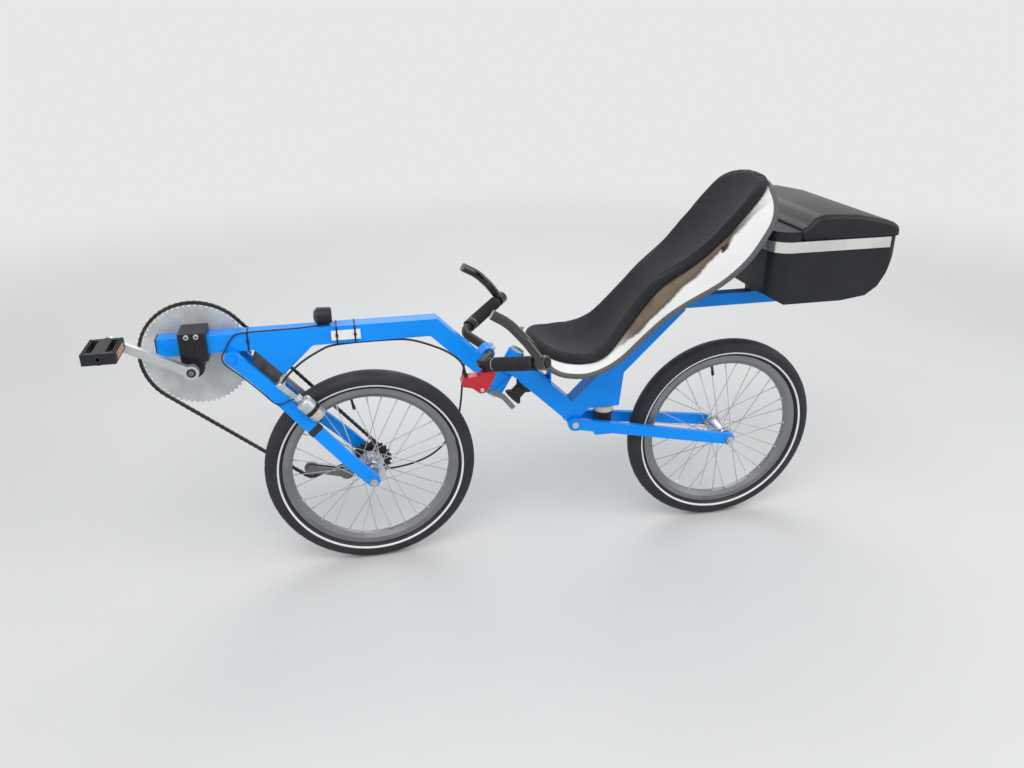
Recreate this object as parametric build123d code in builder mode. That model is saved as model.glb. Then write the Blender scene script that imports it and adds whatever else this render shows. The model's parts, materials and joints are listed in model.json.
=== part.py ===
from build123d import *
import math
import os

# Recumbent bicycle with its steering pivot in the middle, millimetres.
# +X points to the rear, +Z up, -Y to the rider's left, and the origin is on
# the seat pad where the rider sits.

# Stance
WHEELBASE = 900.0
SEAT_HEIGHT = 530.0
SEAT_AHEAD = 420.0
TYRE_OD = 500.0
TYRE_SECTION = 47.0
TYRE_WIDTH = 46.0
CLEARANCE = 0.3

ground_z = -SEAT_HEIGHT
axle_z = ground_z + TYRE_OD / 2
rear_x = SEAT_AHEAD
front_x = rear_x - WHEELBASE

# Front frame: a square boom that bends down to the steering knuckle
BOOM_SIDE = 40.0
BOOM_WALL = 2.0
BOOM_RISE = 68.0
BOOM_NOSE = 430.0
BOOM_FALL_ANGLE = 45.0
HEAD_AHEAD = 163.0
HEAD_DROP = 87.0
HEAD_ANGLE = 60.0
HEAD_D = 40.0
HEAD_PIN_D = 20.0
FRONT_KNUCKLE = 50.0
REAR_KNUCKLE = 56.0
BEARING_GAP = 3.0
BOOM_GUSSET_FRONT = 233.0
BOOM_GUSSET_REAR = 108.0
BOOM_GUSSET_DEPTH = 64.0

boom_z = BOOM_RISE
boom_top = boom_z + BOOM_SIDE / 2
boom_under = boom_z - BOOM_SIDE / 2
nose_x = front_x - BOOM_NOSE
head_x = -HEAD_AHEAD
head_z = -HEAD_DROP
bend_x = head_x - (boom_z - head_z) / math.tan(math.radians(BOOM_FALL_ANGLE))
head_dir = Vector(math.cos(math.radians(HEAD_ANGLE)), 0, math.sin(math.radians(HEAD_ANGLE)))
head = Vector(head_x, 0, head_z)

# Rear frame: a square tube in a V, and a slimmer one that carries the case
REAR_TUBE = 45.0
V_CORNER_BEHIND = 13.5
V_CORNER_DROP = 182.5
V_ANGLE = 45.0
CARRIER_TUBE = 30.0
CARRIER_RISE = 80.0
CARRIER_END = 655.0
GUSSET_WIDTH = 36.0
GUSSET_RISE = 7.5
GUSSET_REACH_LOW = 121.5
GUSSET_REACH_TOP = 134.5

half = REAR_TUBE / 2
v_x = V_CORNER_BEHIND
v_z = -V_CORNER_DROP
carrier_z = CARRIER_RISE
carrier_x = v_x + (carrier_z - v_z) / math.tan(math.radians(V_ANGLE))
rear_knuckle_low = FRONT_KNUCKLE / 2 + BEARING_GAP
rear_knuckle_top = rear_knuckle_low + REAR_KNUCKLE
v_start = head + head_dir * ((rear_knuckle_low + rear_knuckle_top) / 2)
front_slope = (v_start.Z - v_z) / (v_x - v_start.X)


def side(y=0.0):
    """The side view plane at y: local x is +X, local y is +Z, its normal is -Y."""
    return Plane.XZ.offset(-y)


def across(x, z, y=0.0):
    """A side view plane with its own origin at x, z."""
    return Plane(origin=(x, y, z), x_dir=(1, 0, 0), z_dir=(0, -1, 0))


def along(start, end):
    """A plane at start that faces end."""
    direction = (Vector(*end) - Vector(*start)).normalized()
    up = Vector(1, 0, 0) if abs(direction.Y) > 0.9 else Vector(0, 1, 0)
    x_dir = up.cross(direction)
    return Plane(origin=start, x_dir=x_dir.normalized(), z_dir=direction)


def strip(points, half):
    """The outline of a bar of even width along a run of points, mitred at its bends."""
    path = [Vector(p[0], p[1]) for p in points]
    last = len(path) - 1
    left = []
    right = []
    for i, p in enumerate(path):
        into = (p - path[i - 1]).normalized() if i > 0 else (path[1] - p).normalized()
        out = (path[i + 1] - p).normalized() if i < last else into
        normal = Vector(-into.Y - out.Y, into.X + out.X).normalized()
        reach = half / (normal.X * -into.Y + normal.Y * into.X)
        left.append((p.X + normal.X * reach, p.Y + normal.Y * reach))
        right.append((p.X - normal.X * reach, p.Y - normal.Y * reach))
    return left + right[::-1]


def plate(points, y_low, y_high, mode=Mode.ADD):
    """A plate with a side view outline of x, z points, from y_low to y_high."""
    with BuildSketch(side(y_high)) as outline:
        with BuildLine():
            Polyline(*points, close=True)
        make_face()
    extrude(outline.sketch, amount=y_high - y_low, mode=mode)


def rod(start, end, radius, bore=0.0, mode=Mode.ADD):
    """A round bar or tube from start to end."""
    with BuildSketch(along(start, end)) as section:
        Circle(radius)
        if bore:
            Circle(bore, mode=Mode.SUBTRACT)
    extrude(section.sketch, amount=(Vector(*end) - Vector(*start)).length, mode=mode)


def cross_rod(x, z, y_low, y_high, radius, bore=0.0, mode=Mode.ADD):
    """A round bar or tube that lies across the bicycle."""
    rod((x, y_low, z), (x, y_high, z), radius, bore, mode)


def bent_tube(points, radii, radius, bore=0.0):
    """A round tube along straight runs joined by arcs."""
    with BuildLine() as path:
        FilletPolyline(*points, radius=radii)
    with BuildSketch(Plane(origin=path.line @ 0, z_dir=path.line % 0)) as section:
        Circle(radius)
        if bore:
            Circle(bore, mode=Mode.SUBTRACT)
    sweep(section.sketch, path=path.line)


def write(part, label):
    part.label = label
    export_step(part, "parts/" + label + ".step")


os.makedirs("parts", exist_ok=True)

# Wheels: the same rim and tyre, with a hub for the drive at the front
RIM_FLANGE = 6.0
RIM_DEPTH = 17.0
RIM_WIDTH = 25.0
RIM_WALL_DEPTH = 13.0
RIM_BASE_WIDTH = 13.0
TYRE_BEAD_WIDTH = 23.0
TYRE_SHOULDER = 11.0
TREAD_WIDTH = 30.0
TREAD_DROP = 7.0
SPOKE_D = 2.2
SPOKE_SIDES = 6
SPOKES_A_SIDE = 16
SPOKE_CROSS = 55.0
SPOKE_STAGGER = 2.2
SPOKE_SEAT = 3.0
RIM_HOLE_OFFSET = 4.0
FLANGE_T = 3.0
HUB_END = 6.0
HUB_TAPER = 8.0
HUB_COLLAR = 3.0
AXLE_D = 10.0
CONE_D = 17.0
CONE_GAP = 0.5
NUT_D = 17.0
NUT_T = 9.0
AXLE_STUB = 7.0
FRONT_OLD = 126.0
REAR_OLD = 100.0
ARM_T = 12.0

tyre_r = TYRE_OD / 2
bead_r = tyre_r - TYRE_SECTION
rim_outer_r = bead_r + RIM_FLANGE
rim_inner_r = bead_r - RIM_DEPTH
hub_bore_r = AXLE_D / 2 + CLEARANCE

# name, axle x, width between dropouts, flange radius, left and right flange, shell radius, right end
WHEELS = (
    ("front", front_x, FRONT_OLD, 30.0, 36.0, 20.0, 20.0, 59.0),
    ("rear", rear_x, REAR_OLD, 22.0, 34.0, 34.0, 15.0, 43.0),
)
for name, wheel_x, old, flange_r, flange_left, flange_right, shell_r, right_end in WHEELS:
    spin = Axis((wheel_x, 0, axle_z), (0, 1, 0))
    radial = Plane(origin=(wheel_x, 0, axle_z), x_dir=(0, 1, 0), z_dir=(1, 0, 0))
    left_end = -flange_left - FLANGE_T - HUB_END

    with BuildPart() as tyre:
        with BuildSketch(radial):
            with BuildLine():
                Polyline(
                    (-TYRE_BEAD_WIDTH / 2, rim_outer_r + CLEARANCE),
                    (TYRE_BEAD_WIDTH / 2, rim_outer_r + CLEARANCE),
                    (TYRE_WIDTH / 2, rim_outer_r + TYRE_SHOULDER),
                    (TREAD_WIDTH / 2, tyre_r - TREAD_DROP),
                    (0, tyre_r),
                    (-TREAD_WIDTH / 2, tyre_r - TREAD_DROP),
                    (-TYRE_WIDTH / 2, rim_outer_r + TYRE_SHOULDER),
                    close=True,
                )
            make_face()
        revolve(axis=spin)
    write(tyre.part, name + "_tyre")

    with BuildPart() as rim:
        with BuildSketch(radial):
            with BuildLine():
                Polyline(
                    (-RIM_WIDTH / 2, rim_outer_r),
                    (RIM_WIDTH / 2, rim_outer_r),
                    (RIM_WIDTH / 2, rim_outer_r - RIM_WALL_DEPTH),
                    (RIM_BASE_WIDTH / 2, rim_inner_r),
                    (-RIM_BASE_WIDTH / 2, rim_inner_r),
                    (-RIM_WIDTH / 2, rim_outer_r - RIM_WALL_DEPTH),
                    close=True,
                )
            make_face()
        revolve(axis=spin)
    write(rim.part, name + "_rim")

    with BuildPart() as hub:
        with BuildSketch(radial):
            with BuildLine():
                Polyline(
                    (left_end, hub_bore_r),
                    (left_end, shell_r),
                    (-flange_left - FLANGE_T, shell_r),
                    (-flange_left - FLANGE_T, flange_r),
                    (-flange_left, flange_r),
                    (-flange_left, shell_r + HUB_COLLAR),
                    (-flange_left + HUB_TAPER, shell_r),
                    (flange_right - HUB_TAPER, shell_r),
                    (flange_right, shell_r + HUB_COLLAR),
                    (flange_right, flange_r),
                    (flange_right + FLANGE_T, flange_r),
                    (flange_right + FLANGE_T, shell_r - HUB_COLLAR),
                    (right_end, shell_r - HUB_COLLAR),
                    (right_end, hub_bore_r),
                    close=True,
                )
            make_face()
        revolve(axis=spin)
        for hand, flange_y in ((-1, -flange_left - FLANGE_T / 2), (1, flange_right + FLANGE_T / 2)):
            for i in range(SPOKES_A_SIDE):
                turn = (i + (0.5 if hand > 0 else 0.0)) * 360.0 / SPOKES_A_SIDE
                lead = 1 if i % 2 else -1
                hub_angle = math.radians(turn + lead * SPOKE_CROSS)
                rim_angle = math.radians(turn)
                seat_r = flange_r - SPOKE_SEAT
                reach = rim_inner_r - CLEARANCE
                start = (
                    wheel_x + seat_r * math.cos(hub_angle),
                    flange_y + lead * SPOKE_STAGGER,
                    axle_z + seat_r * math.sin(hub_angle),
                )
                end = (
                    wheel_x + reach * math.cos(rim_angle),
                    hand * RIM_HOLE_OFFSET,
                    axle_z + reach * math.sin(rim_angle),
                )
                with BuildSketch(along(start, end)) as section:
                    RegularPolygon(SPOKE_D / 2, SPOKE_SIDES)
                extrude(section.sketch, amount=math.dist(start, end))
    write(hub.part, name + "_hub")

    with BuildPart() as axle:
        stub = old / 2 + ARM_T + NUT_T + AXLE_STUB
        cross_rod(wheel_x, axle_z, -stub, stub, AXLE_D / 2)
        cross_rod(wheel_x, axle_z, -old / 2, left_end - CONE_GAP, CONE_D / 2)
        cross_rod(wheel_x, axle_z, right_end + CONE_GAP, old / 2, CONE_D / 2)
        for nut_y in (-old / 2 - ARM_T - NUT_T, old / 2 + ARM_T):
            with BuildSketch(across(wheel_x, axle_z, nut_y + NUT_T)):
                RegularPolygon(NUT_D / 2, 6, major_radius=False)
            extrude(amount=NUT_T)
    write(axle.part, name + "_axle")

# Front frame, one welded piece with its gusset and knuckle
ARM_PIVOT_AHEAD = 280.0
ARM_PIVOT_DROP = 12.0
ARM_PIN_D = 10.0
ARM_BOSS_D = 28.0

arm_pivot_x = front_x - ARM_PIVOT_AHEAD
arm_pivot_z = boom_under - ARM_PIVOT_DROP
arm_fall = (arm_pivot_z - axle_z) / (front_x - arm_pivot_x)
gusset_tip_x = front_x - BOOM_GUSSET_FRONT + BOOM_GUSSET_DEPTH / arm_fall

with BuildPart() as front_frame:
    boom_path = ((nose_x, boom_z), (bend_x, boom_z), (head_x, head_z))
    plate(strip(boom_path, BOOM_SIDE / 2), -BOOM_SIDE / 2, BOOM_SIDE / 2)
    inner = BOOM_SIDE / 2 - BOOM_WALL
    plate(strip(boom_path, inner), -inner, inner, mode=Mode.SUBTRACT)
    plate(
        (
            (front_x - BOOM_GUSSET_FRONT, boom_under),
            (gusset_tip_x, boom_under - BOOM_GUSSET_DEPTH),
            (front_x - BOOM_GUSSET_REAR, boom_under),
        ),
        -BOOM_SIDE / 2,
        BOOM_SIDE / 2,
    )
    cross_rod(arm_pivot_x, arm_pivot_z, -BOOM_SIDE / 2, BOOM_SIDE / 2, ARM_BOSS_D / 2)
    plate(
        (
            (arm_pivot_x - ARM_BOSS_D / 2, boom_under),
            (arm_pivot_x - ARM_BOSS_D / 2, arm_pivot_z),
            (arm_pivot_x + ARM_BOSS_D / 2, arm_pivot_z),
            (arm_pivot_x + ARM_BOSS_D / 2, boom_under),
        ),
        -BOOM_SIDE / 2,
        BOOM_SIDE / 2,
    )
    cross_rod(
        arm_pivot_x, arm_pivot_z, -BOOM_SIDE / 2, BOOM_SIDE / 2, ARM_PIN_D / 2 + CLEARANCE, mode=Mode.SUBTRACT
    )
    knuckle_low = head - head_dir * (FRONT_KNUCKLE / 2)
    knuckle_top = head + head_dir * (FRONT_KNUCKLE / 2)
    rod(knuckle_low, knuckle_top, HEAD_D / 2)
    rod(
        knuckle_low - head_dir * HEAD_D,
        knuckle_top + head_dir * HEAD_D,
        HEAD_PIN_D / 2 + CLEARANCE,
        mode=Mode.SUBTRACT,
    )
write(front_frame.part, "front_frame")

# Plug in the open nose of the boom
PLUG_DEPTH = 18.0
PLUG_LIP = 3.0
with BuildPart() as boom_plug:
    plug_half = inner - CLEARANCE
    with BuildSketch(Plane.YZ.offset(nose_x - PLUG_LIP)):
        with Locations((0, boom_z)):
            Rectangle(BOOM_SIDE, BOOM_SIDE)
    extrude(amount=PLUG_LIP)
    with BuildSketch(Plane.YZ.offset(nose_x)):
        with Locations((0, boom_z)):
            Rectangle(2 * plug_half, 2 * plug_half)
    extrude(amount=PLUG_DEPTH)
write(boom_plug.part, "boom_plug")

# Steering pin, held in the rear frame
PIN_HEAD_D = 32.0
PIN_HEAD_T = 6.0
PIN_NUT_D = 24.0
PIN_NUT_T = 14.0
with BuildPart() as steering_pin:
    pin_low = head - head_dir * (FRONT_KNUCKLE / 2 + BEARING_GAP / 2)
    pin_top = head + head_dir * (rear_knuckle_top + CLEARANCE)
    rod(pin_low - head_dir * PIN_NUT_T, pin_low, PIN_NUT_D / 2)
    rod(pin_low, pin_top, HEAD_PIN_D / 2)
    rod(pin_top, pin_top + head_dir * PIN_HEAD_T, PIN_HEAD_D / 2)
write(steering_pin.part, "steering_pin")

# Rear frame, one welded piece
SWING_PIVOT_BEHIND = 18.0
SWING_PIVOT_DROP = 25.5
SWING_BOSS_D = 28.0
SWING_PIN_D = 10.0

swing_x = SWING_PIVOT_BEHIND
swing_z = v_z - SWING_PIVOT_DROP
gusset_z = v_z + GUSSET_RISE

with BuildPart() as rear_frame:
    plate(strip(((v_start.X, v_start.Z), (v_x, v_z), (carrier_x, carrier_z)), half), -half, half)
    plate(
        strip(((carrier_x - CARRIER_TUBE, carrier_z), (CARRIER_END, carrier_z)), CARRIER_TUBE / 2),
        -CARRIER_TUBE / 2,
        CARRIER_TUBE / 2,
    )
    plate(
        (
            (v_x + GUSSET_RISE, gusset_z),
            (v_x + GUSSET_REACH_LOW, gusset_z),
            (v_x + GUSSET_REACH_TOP, v_z + GUSSET_REACH_TOP * math.tan(math.radians(V_ANGLE))),
        ),
        -GUSSET_WIDTH / 2,
        GUSSET_WIDTH / 2,
    )
    cross_rod(swing_x, swing_z, -half, half, SWING_BOSS_D / 2)
    plate(
        (
            (swing_x - SWING_BOSS_D / 2, swing_z),
            (swing_x + SWING_BOSS_D / 2, swing_z),
            (swing_x + SWING_BOSS_D / 2, v_z),
            (swing_x - SWING_BOSS_D / 2, v_z),
        ),
        -half,
        half,
    )
    cross_rod(swing_x, swing_z, -half, half, SWING_PIN_D / 2 + CLEARANCE, mode=Mode.SUBTRACT)
    rear_low = head + head_dir * rear_knuckle_low
    rear_top = head + head_dir * rear_knuckle_top
    rod(rear_low, rear_top, HEAD_D / 2)
    rod(rear_low - head_dir * HEAD_D, rear_low, HEAD_D, mode=Mode.SUBTRACT)
    rod(
        rear_low - head_dir * HEAD_D,
        rear_top + head_dir * HEAD_D,
        HEAD_PIN_D / 2 + CLEARANCE,
        mode=Mode.SUBTRACT,
    )
write(rear_frame.part, "rear_frame")

# Swing arms: name, pivot, axle, width between legs at the pivot and at the axle, straight ends, height
SWING_ARM_H = 28.0
FRONT_ARM_H = 30.0
ARM_LUG_D = 34.0
ARM_EYE_D = 30.0
ARMS = (
    ("front", (arm_pivot_x, arm_pivot_z), front_x, BOOM_SIDE, FRONT_OLD, 90.0, 75.0, FRONT_ARM_H, ARM_PIN_D),
    ("rear", (swing_x, swing_z), rear_x, REAR_TUBE, REAR_OLD, 10.0, 40.0, SWING_ARM_H, SWING_PIN_D),
)
BRIDGE_START = 56.0
BRIDGE_END = 104.0
BRIDGE_T = 12.0
HANGER_AHEAD = 48.0
HANGER_DROP = 14.0
HANGER_HALF = 9.0
HANGER_T = 6.0
SWING_PLATE_START = 52.0
SWING_PLATE_END = 112.0
SWING_PLATE_DROP = 9.0
SWING_PLATE_T = 10.0

arm_frames = {}
for name, pivot, wheel_x, width, old, run_in, run_out, height, pin_d in ARMS:
    start = Vector(pivot[0], 0, pivot[1])
    end = Vector(wheel_x, 0, axle_z)
    length = (end - start).length
    direction = (end - start).normalized()
    arm_side = Plane(origin=start, x_dir=direction, z_dir=(0, -1, 0))
    arm_plan = Plane(origin=start, x_dir=direction, z_dir=arm_side.y_dir)
    arm_frames[name] = (arm_side, arm_plan, length)
    y_pivot = width / 2 + CLEARANCE + ARM_T / 2
    y_axle = old / 2 + ARM_T / 2
    with BuildPart() as arm:
        for hand in (-1, 1):
            leg = (
                (0, hand * y_pivot),
                (run_in, hand * y_pivot),
                (length - run_out, hand * y_axle),
                (length, hand * y_axle),
            )
            with BuildSketch(arm_plan):
                with BuildLine():
                    Polyline(*strip(leg, ARM_T / 2), close=True)
                make_face()
            extrude(amount=height / 2, both=True)
            y0, y1 = sorted((hand * (y_pivot - ARM_T / 2), hand * (y_pivot + ARM_T / 2)))
            cross_rod(start.X, start.Z, y0, y1, ARM_LUG_D / 2)
            y0, y1 = sorted((hand * old / 2, hand * (old / 2 + ARM_T)))
            cross_rod(end.X, end.Z, y0, y1, ARM_EYE_D / 2)
        if name == "front":
            with BuildSketch(arm_side):
                with Locations(((BRIDGE_START + BRIDGE_END) / 2, -BRIDGE_T / 2)):
                    Rectangle(BRIDGE_END - BRIDGE_START, BRIDGE_T)
            extrude(amount=y_pivot, both=True)
        else:
            plate_middle = (SWING_PLATE_START + SWING_PLATE_END) / 2
            plate_z = start.Z + plate_middle * direction.Z / direction.X - SWING_PLATE_DROP
            spread = (SWING_PLATE_END - run_in) / (length - run_out - run_in)
            plate_half = y_pivot + (y_axle - y_pivot) * spread
            plate(
                (
                    (start.X + SWING_PLATE_START, plate_z),
                    (start.X + SWING_PLATE_END, plate_z),
                    (start.X + SWING_PLATE_END, plate_z - SWING_PLATE_T),
                    (start.X + SWING_PLATE_START, plate_z - SWING_PLATE_T),
                ),
                -plate_half,
                plate_half,
            )
        if name == "front":
            hanger = ((end.X, end.Z), (end.X - HANGER_AHEAD, end.Z - HANGER_DROP))
            plate(strip(hanger, HANGER_HALF), old / 2, old / 2 + HANGER_T)
        reach = old / 2 + ARM_T + 1
        cross_rod(start.X, start.Z, -reach, reach, pin_d / 2 + CLEARANCE, mode=Mode.SUBTRACT)
        cross_rod(end.X, end.Z, -reach, reach, AXLE_D / 2 + CLEARANCE, mode=Mode.SUBTRACT)
    write(arm.part, name + "_swing_arm")

    with BuildPart() as pivot_bolt:
        outer = width / 2 + CLEARANCE + ARM_T + CLEARANCE
        cross_rod(start.X, start.Z, -outer - NUT_T / 2, outer + NUT_T / 2, pin_d / 2)
        for head_y in (-outer - NUT_T / 2, outer + NUT_T / 2):
            inner_y = math.copysign(outer, head_y)
            y0, y1 = sorted((head_y, inner_y))
            cross_rod(start.X, start.Z, y0, y1, NUT_D / 2)
    write(pivot_bolt.part, name + "_swing_pivot")

# Rubber springs: a block in front, and waisted bobbins
BLOCK_HALF = 19.5
REAR_SPRING_D = 50.0
REAR_SPRING_WAIST_D = 42.0
SPRING_PLATE_T = 4.0
SPRING_TAPER = 0.3
PAD_T = 13.0


def bobbin(start, end, end_r, waist_r):
    """A rubber bobbin between two flat ends."""
    plane = along(start, end)
    height = (Vector(*end) - Vector(*start)).length
    profile = Plane(origin=start, x_dir=plane.x_dir, z_dir=plane.y_dir)
    up = 1 if profile.y_dir.dot(plane.z_dir) > 0 else -1
    taper = height * SPRING_TAPER
    with BuildSketch(profile) as section:
        with BuildLine():
            Polyline(
                (0, 0),
                (end_r, 0),
                (end_r, up * SPRING_PLATE_T),
                (waist_r, up * taper),
                (waist_r, up * (height - taper)),
                (end_r, up * (height - SPRING_PLATE_T)),
                (end_r, up * height),
                (0, up * height),
                close=True,
            )
        make_face()
    revolve(section.sketch, axis=Axis(start, plane.z_dir))


front_side, front_plan, front_arm_length = arm_frames["front"]
gusset_front = Vector(front_x - BOOM_GUSSET_FRONT, 0, boom_under)
gusset_at = front_side.x_dir.dot(gusset_front - front_side.origin)
gusset_up = front_side.y_dir.dot(gusset_front - front_side.origin) - CLEARANCE
gusset_length = math.hypot(gusset_tip_x - gusset_front.X, BOOM_GUSSET_DEPTH)
BLOCK_SLOPE = 20.0
with BuildPart() as front_elastomer:
    block = (
        (BRIDGE_START + 2, CLEARANCE),
        (BRIDGE_END - 4, CLEARANCE),
        (gusset_at + gusset_length - 2, gusset_up / 2),
        (gusset_at + gusset_length - 2, gusset_up),
        (gusset_at + 4, gusset_up),
        (BRIDGE_START - BLOCK_SLOPE, gusset_up / 2),
    )
    with BuildSketch(front_side):
        with BuildLine():
            Polyline(*block, close=True)
        make_face()
    extrude(amount=BLOCK_HALF, both=True)
write(front_elastomer.part, "front_elastomer")

spring_x = swing_x + plate_middle
with BuildPart() as rear_elastomer:
    bobbin(
        (spring_x, 0, plate_z + CLEARANCE),
        (spring_x, 0, gusset_z - PAD_T - 2 * CLEARANCE),
        REAR_SPRING_D / 2,
        REAR_SPRING_WAIST_D / 2,
    )
write(rear_elastomer.part, "rear_elastomer")

with BuildPart() as elastomer_pad:
    rod(
        (spring_x, 0, gusset_z - PAD_T - CLEARANCE),
        (spring_x, 0, gusset_z - CLEARANCE),
        REAR_SPRING_D / 2,
    )
write(elastomer_pad.part, "elastomer_pad")

# Rubber under the rear frame that centres the steering
BUFFER_D = 46.0
BUFFER_WAIST_D = 30.0
BUFFER_LENGTH = 44.0
BUFFER_AT = 68.0
with BuildPart() as steering_buffer:
    v_dir = (Vector(v_x, 0, v_z) - v_start).normalized()
    v_down = Vector(v_dir.Z, 0, -v_dir.X)
    buffer_top = v_start + v_dir * BUFFER_AT + v_down * (half + CLEARANCE)
    bobbin(buffer_top, buffer_top + v_down * BUFFER_LENGTH, BUFFER_D / 2, BUFFER_WAIST_D / 2)
write(steering_buffer.part, "steering_buffer")

# Seat: a hard shell in one sweep of arc and straight, and a foam pad on it
PAD_THICKNESS = 22.0
PAD_SINK = 2.0
PAD_ROUND = 7.0
SHELL_T = 7.0
SHELL_EDGE = 10.0
SEAT_RADIUS = 154.0
SEAT_NOSE_ANGLE = 28.0
SEAT_NOSE = 37.5
SEAT_BACK_ANGLE = 45.0
SEAT_BACK = 492.0
FLANK_SAG = 0.08
SHELL_CORNER = 60.0
PAD_CORNER = 46.0

seat_arc_z = SEAT_RADIUS - PAD_THICKNESS
arc_start = SEAT_NOSE
arc_low = arc_start + SEAT_RADIUS * math.radians(SEAT_NOSE_ANGLE)
arc_end = arc_low + SEAT_RADIUS * math.radians(SEAT_BACK_ANGLE)
seat_top = arc_end + SEAT_BACK


def seat_plane(s):
    """The plane across the seat at distance s from its front lip: local x is y, local y towards the rider."""
    angle = math.radians(min(max((s - arc_low) / SEAT_RADIUS * 180 / math.pi, -SEAT_NOSE_ANGLE), SEAT_BACK_ANGLE))
    x = SEAT_RADIUS * math.sin(angle)
    z = seat_arc_z - SEAT_RADIUS * math.cos(angle)
    extra = s - arc_end if s > arc_end else min(s - arc_start, 0.0)
    x += extra * math.cos(angle)
    z += extra * math.sin(angle)
    heading = Vector(math.cos(angle), 0, math.sin(angle))
    return Plane(origin=(x, 0, z), x_dir=(0, 1, 0), z_dir=heading)


# distance from the lip, half width of pad, half width of shell, then heights over the sweep:
# of the middle, of the shell at the pad's edge above the middle, and of the shell's rim
SEAT_SECTIONS = (
    (0.0, 90.0, 114.0, 0.0, 3.0, -14.0),
    (arc_start, 106.0, 138.0, 0.0, 8.0, -11.0),
    (arc_low, 128.0, 160.0, 0.0, 12.5, -3.0),
    ((arc_low + arc_end) / 2, 122.0, 150.0, -2.0, 10.0, -3.0),
    (arc_end, 98.0, 140.0, -1.0, 11.0, -5.5),
    (arc_end + 0.2 * SEAT_BACK, 80.0, 142.0, 8.0, 8.0, -9.5),
    (arc_end + 0.31 * SEAT_BACK, 80.0, 153.0, 9.0, 8.5, -15.0),
    (arc_end + 0.5 * SEAT_BACK, 98.0, 181.0, -6.0, 12.0, -28.0),
    (arc_end + 0.65 * SEAT_BACK, 108.0, 190.0, -10.0, 15.0, -28.0),
    (arc_end + 0.83 * SEAT_BACK, 108.0, 168.0, -6.0, 15.0, -19.0),
    (arc_end + 0.93 * SEAT_BACK, 100.0, 140.0, -2.0, 12.0, -15.0),
    (seat_top, 90.0, 116.0, 0.0, 8.0, -10.0),
)


def seat_values(s):
    """The columns after the first of the table above, eased between its rows to distance s."""
    for low, high in zip(SEAT_SECTIONS, SEAT_SECTIONS[1:]):
        if s <= high[0] + CLEARANCE:
            break
    t = (s - low[0]) / (high[0] - low[0])
    ease = t * t * (3 - 2 * t)
    return [a + (b - a) * ease for a, b in zip(low[1:], high[1:])]


def round_end(s, inward, column, radius):
    """Rounds the seat's two corners at distance s; inward is 1 at the nose and -1 at the top."""
    end = seat_plane(s)
    wide = seat_values(s + inward * radius)[column]
    with BuildSketch(Plane(origin=end.origin, x_dir=(0, 1, 0), z_dir=end.y_dir)) as corners:
        for hand in (-1, 1):
            with Locations((hand * wide, 0)):
                Rectangle(2 * radius, 2 * radius)
        for hand in (-1, 1):
            with Locations((hand * (wide - radius), -inward * radius)):
                Circle(radius, mode=Mode.SUBTRACT)
    extrude(corners.sketch, amount=SEAT_RADIUS / 2, both=True, mode=Mode.SUBTRACT)


SEAT_STEP = 46.0
seat_steps = round(seat_top / SEAT_STEP)
seat_stations = [seat_top * i / seat_steps for i in range(seat_steps + 1)]

with BuildPart() as seat_shell:
    for s in seat_stations:
        pad_half, shell_half, middle_up, rise, rim_up = seat_values(s)
        crest = pad_half + PAD_ROUND / 2
        edge_up = middle_up + rise
        flank = ((crest + shell_half) / 2, (edge_up + rim_up) / 2 - (shell_half - crest) * FLANK_SAG)
        with BuildSketch(seat_plane(s)):
            with BuildLine():
                ThreePointArc((-crest, edge_up), (0, middle_up), (crest, edge_up))
                ThreePointArc(
                    (-crest, edge_up - SHELL_T), (0, middle_up - SHELL_T), (crest, edge_up - SHELL_T)
                )
                for hand in (-1, 1):
                    ThreePointArc(
                        (hand * crest, edge_up), (hand * flank[0], flank[1]), (hand * shell_half, rim_up)
                    )
                    Line((hand * shell_half, rim_up), (hand * shell_half, rim_up - SHELL_EDGE))
                    ThreePointArc(
                        (hand * shell_half, rim_up - SHELL_EDGE),
                        (hand * flank[0], flank[1] - SHELL_T),
                        (hand * crest, edge_up - SHELL_T),
                    )
            make_face()
    loft()
    round_end(0.0, 1, 1, SHELL_CORNER)
    round_end(seat_top, -1, 1, SHELL_CORNER)
write(seat_shell.part, "seat_shell")

# The pad is laid on the shell, so its underside is the shell's own surface
PAD_START = 14.0
PAD_END = seat_top - 12.0
with BuildPart() as seat_pad:
    for s in seat_stations:
        at = min(max(s, PAD_START), PAD_END)
        pad_half, shell_half, middle_up, rise, rim_up = seat_values(at)
        low_up = middle_up + rise * (pad_half / (pad_half + PAD_ROUND / 2)) ** 2
        edge_up = low_up + PAD_THICKNESS - PAD_ROUND
        with BuildSketch(seat_plane(at)):
            with BuildLine():
                low = ThreePointArc(
                    (-pad_half, low_up - PAD_SINK), (0, middle_up - PAD_SINK), (pad_half, low_up - PAD_SINK)
                )
                top = ThreePointArc(
                    (-pad_half + PAD_ROUND, edge_up + PAD_ROUND),
                    (0, middle_up + PAD_THICKNESS),
                    (pad_half - PAD_ROUND, edge_up + PAD_ROUND),
                )
                Polyline(low @ 1, (pad_half, edge_up), top @ 1)
                Polyline(low @ 0, (-pad_half, edge_up), top @ 0)
            make_face()
    loft()
    round_end(PAD_START, 1, 0, PAD_CORNER)
    round_end(PAD_END, -1, 0, PAD_CORNER)
    add(seat_shell.part, mode=Mode.SUBTRACT)
write(seat_pad.part, "seat_pad")

# Brackets that carry the shell
BRACKET_WIDTH = 36.0
BRACKET_WALL = 4.0
FRONT_BRACKET_X = -74.0
FRONT_BRACKET_LENGTH = 34.0
REAR_BRACKET_LENGTH = 40.0

tube_rise = half * math.hypot(1, front_slope) + CLEARANCE


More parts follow.
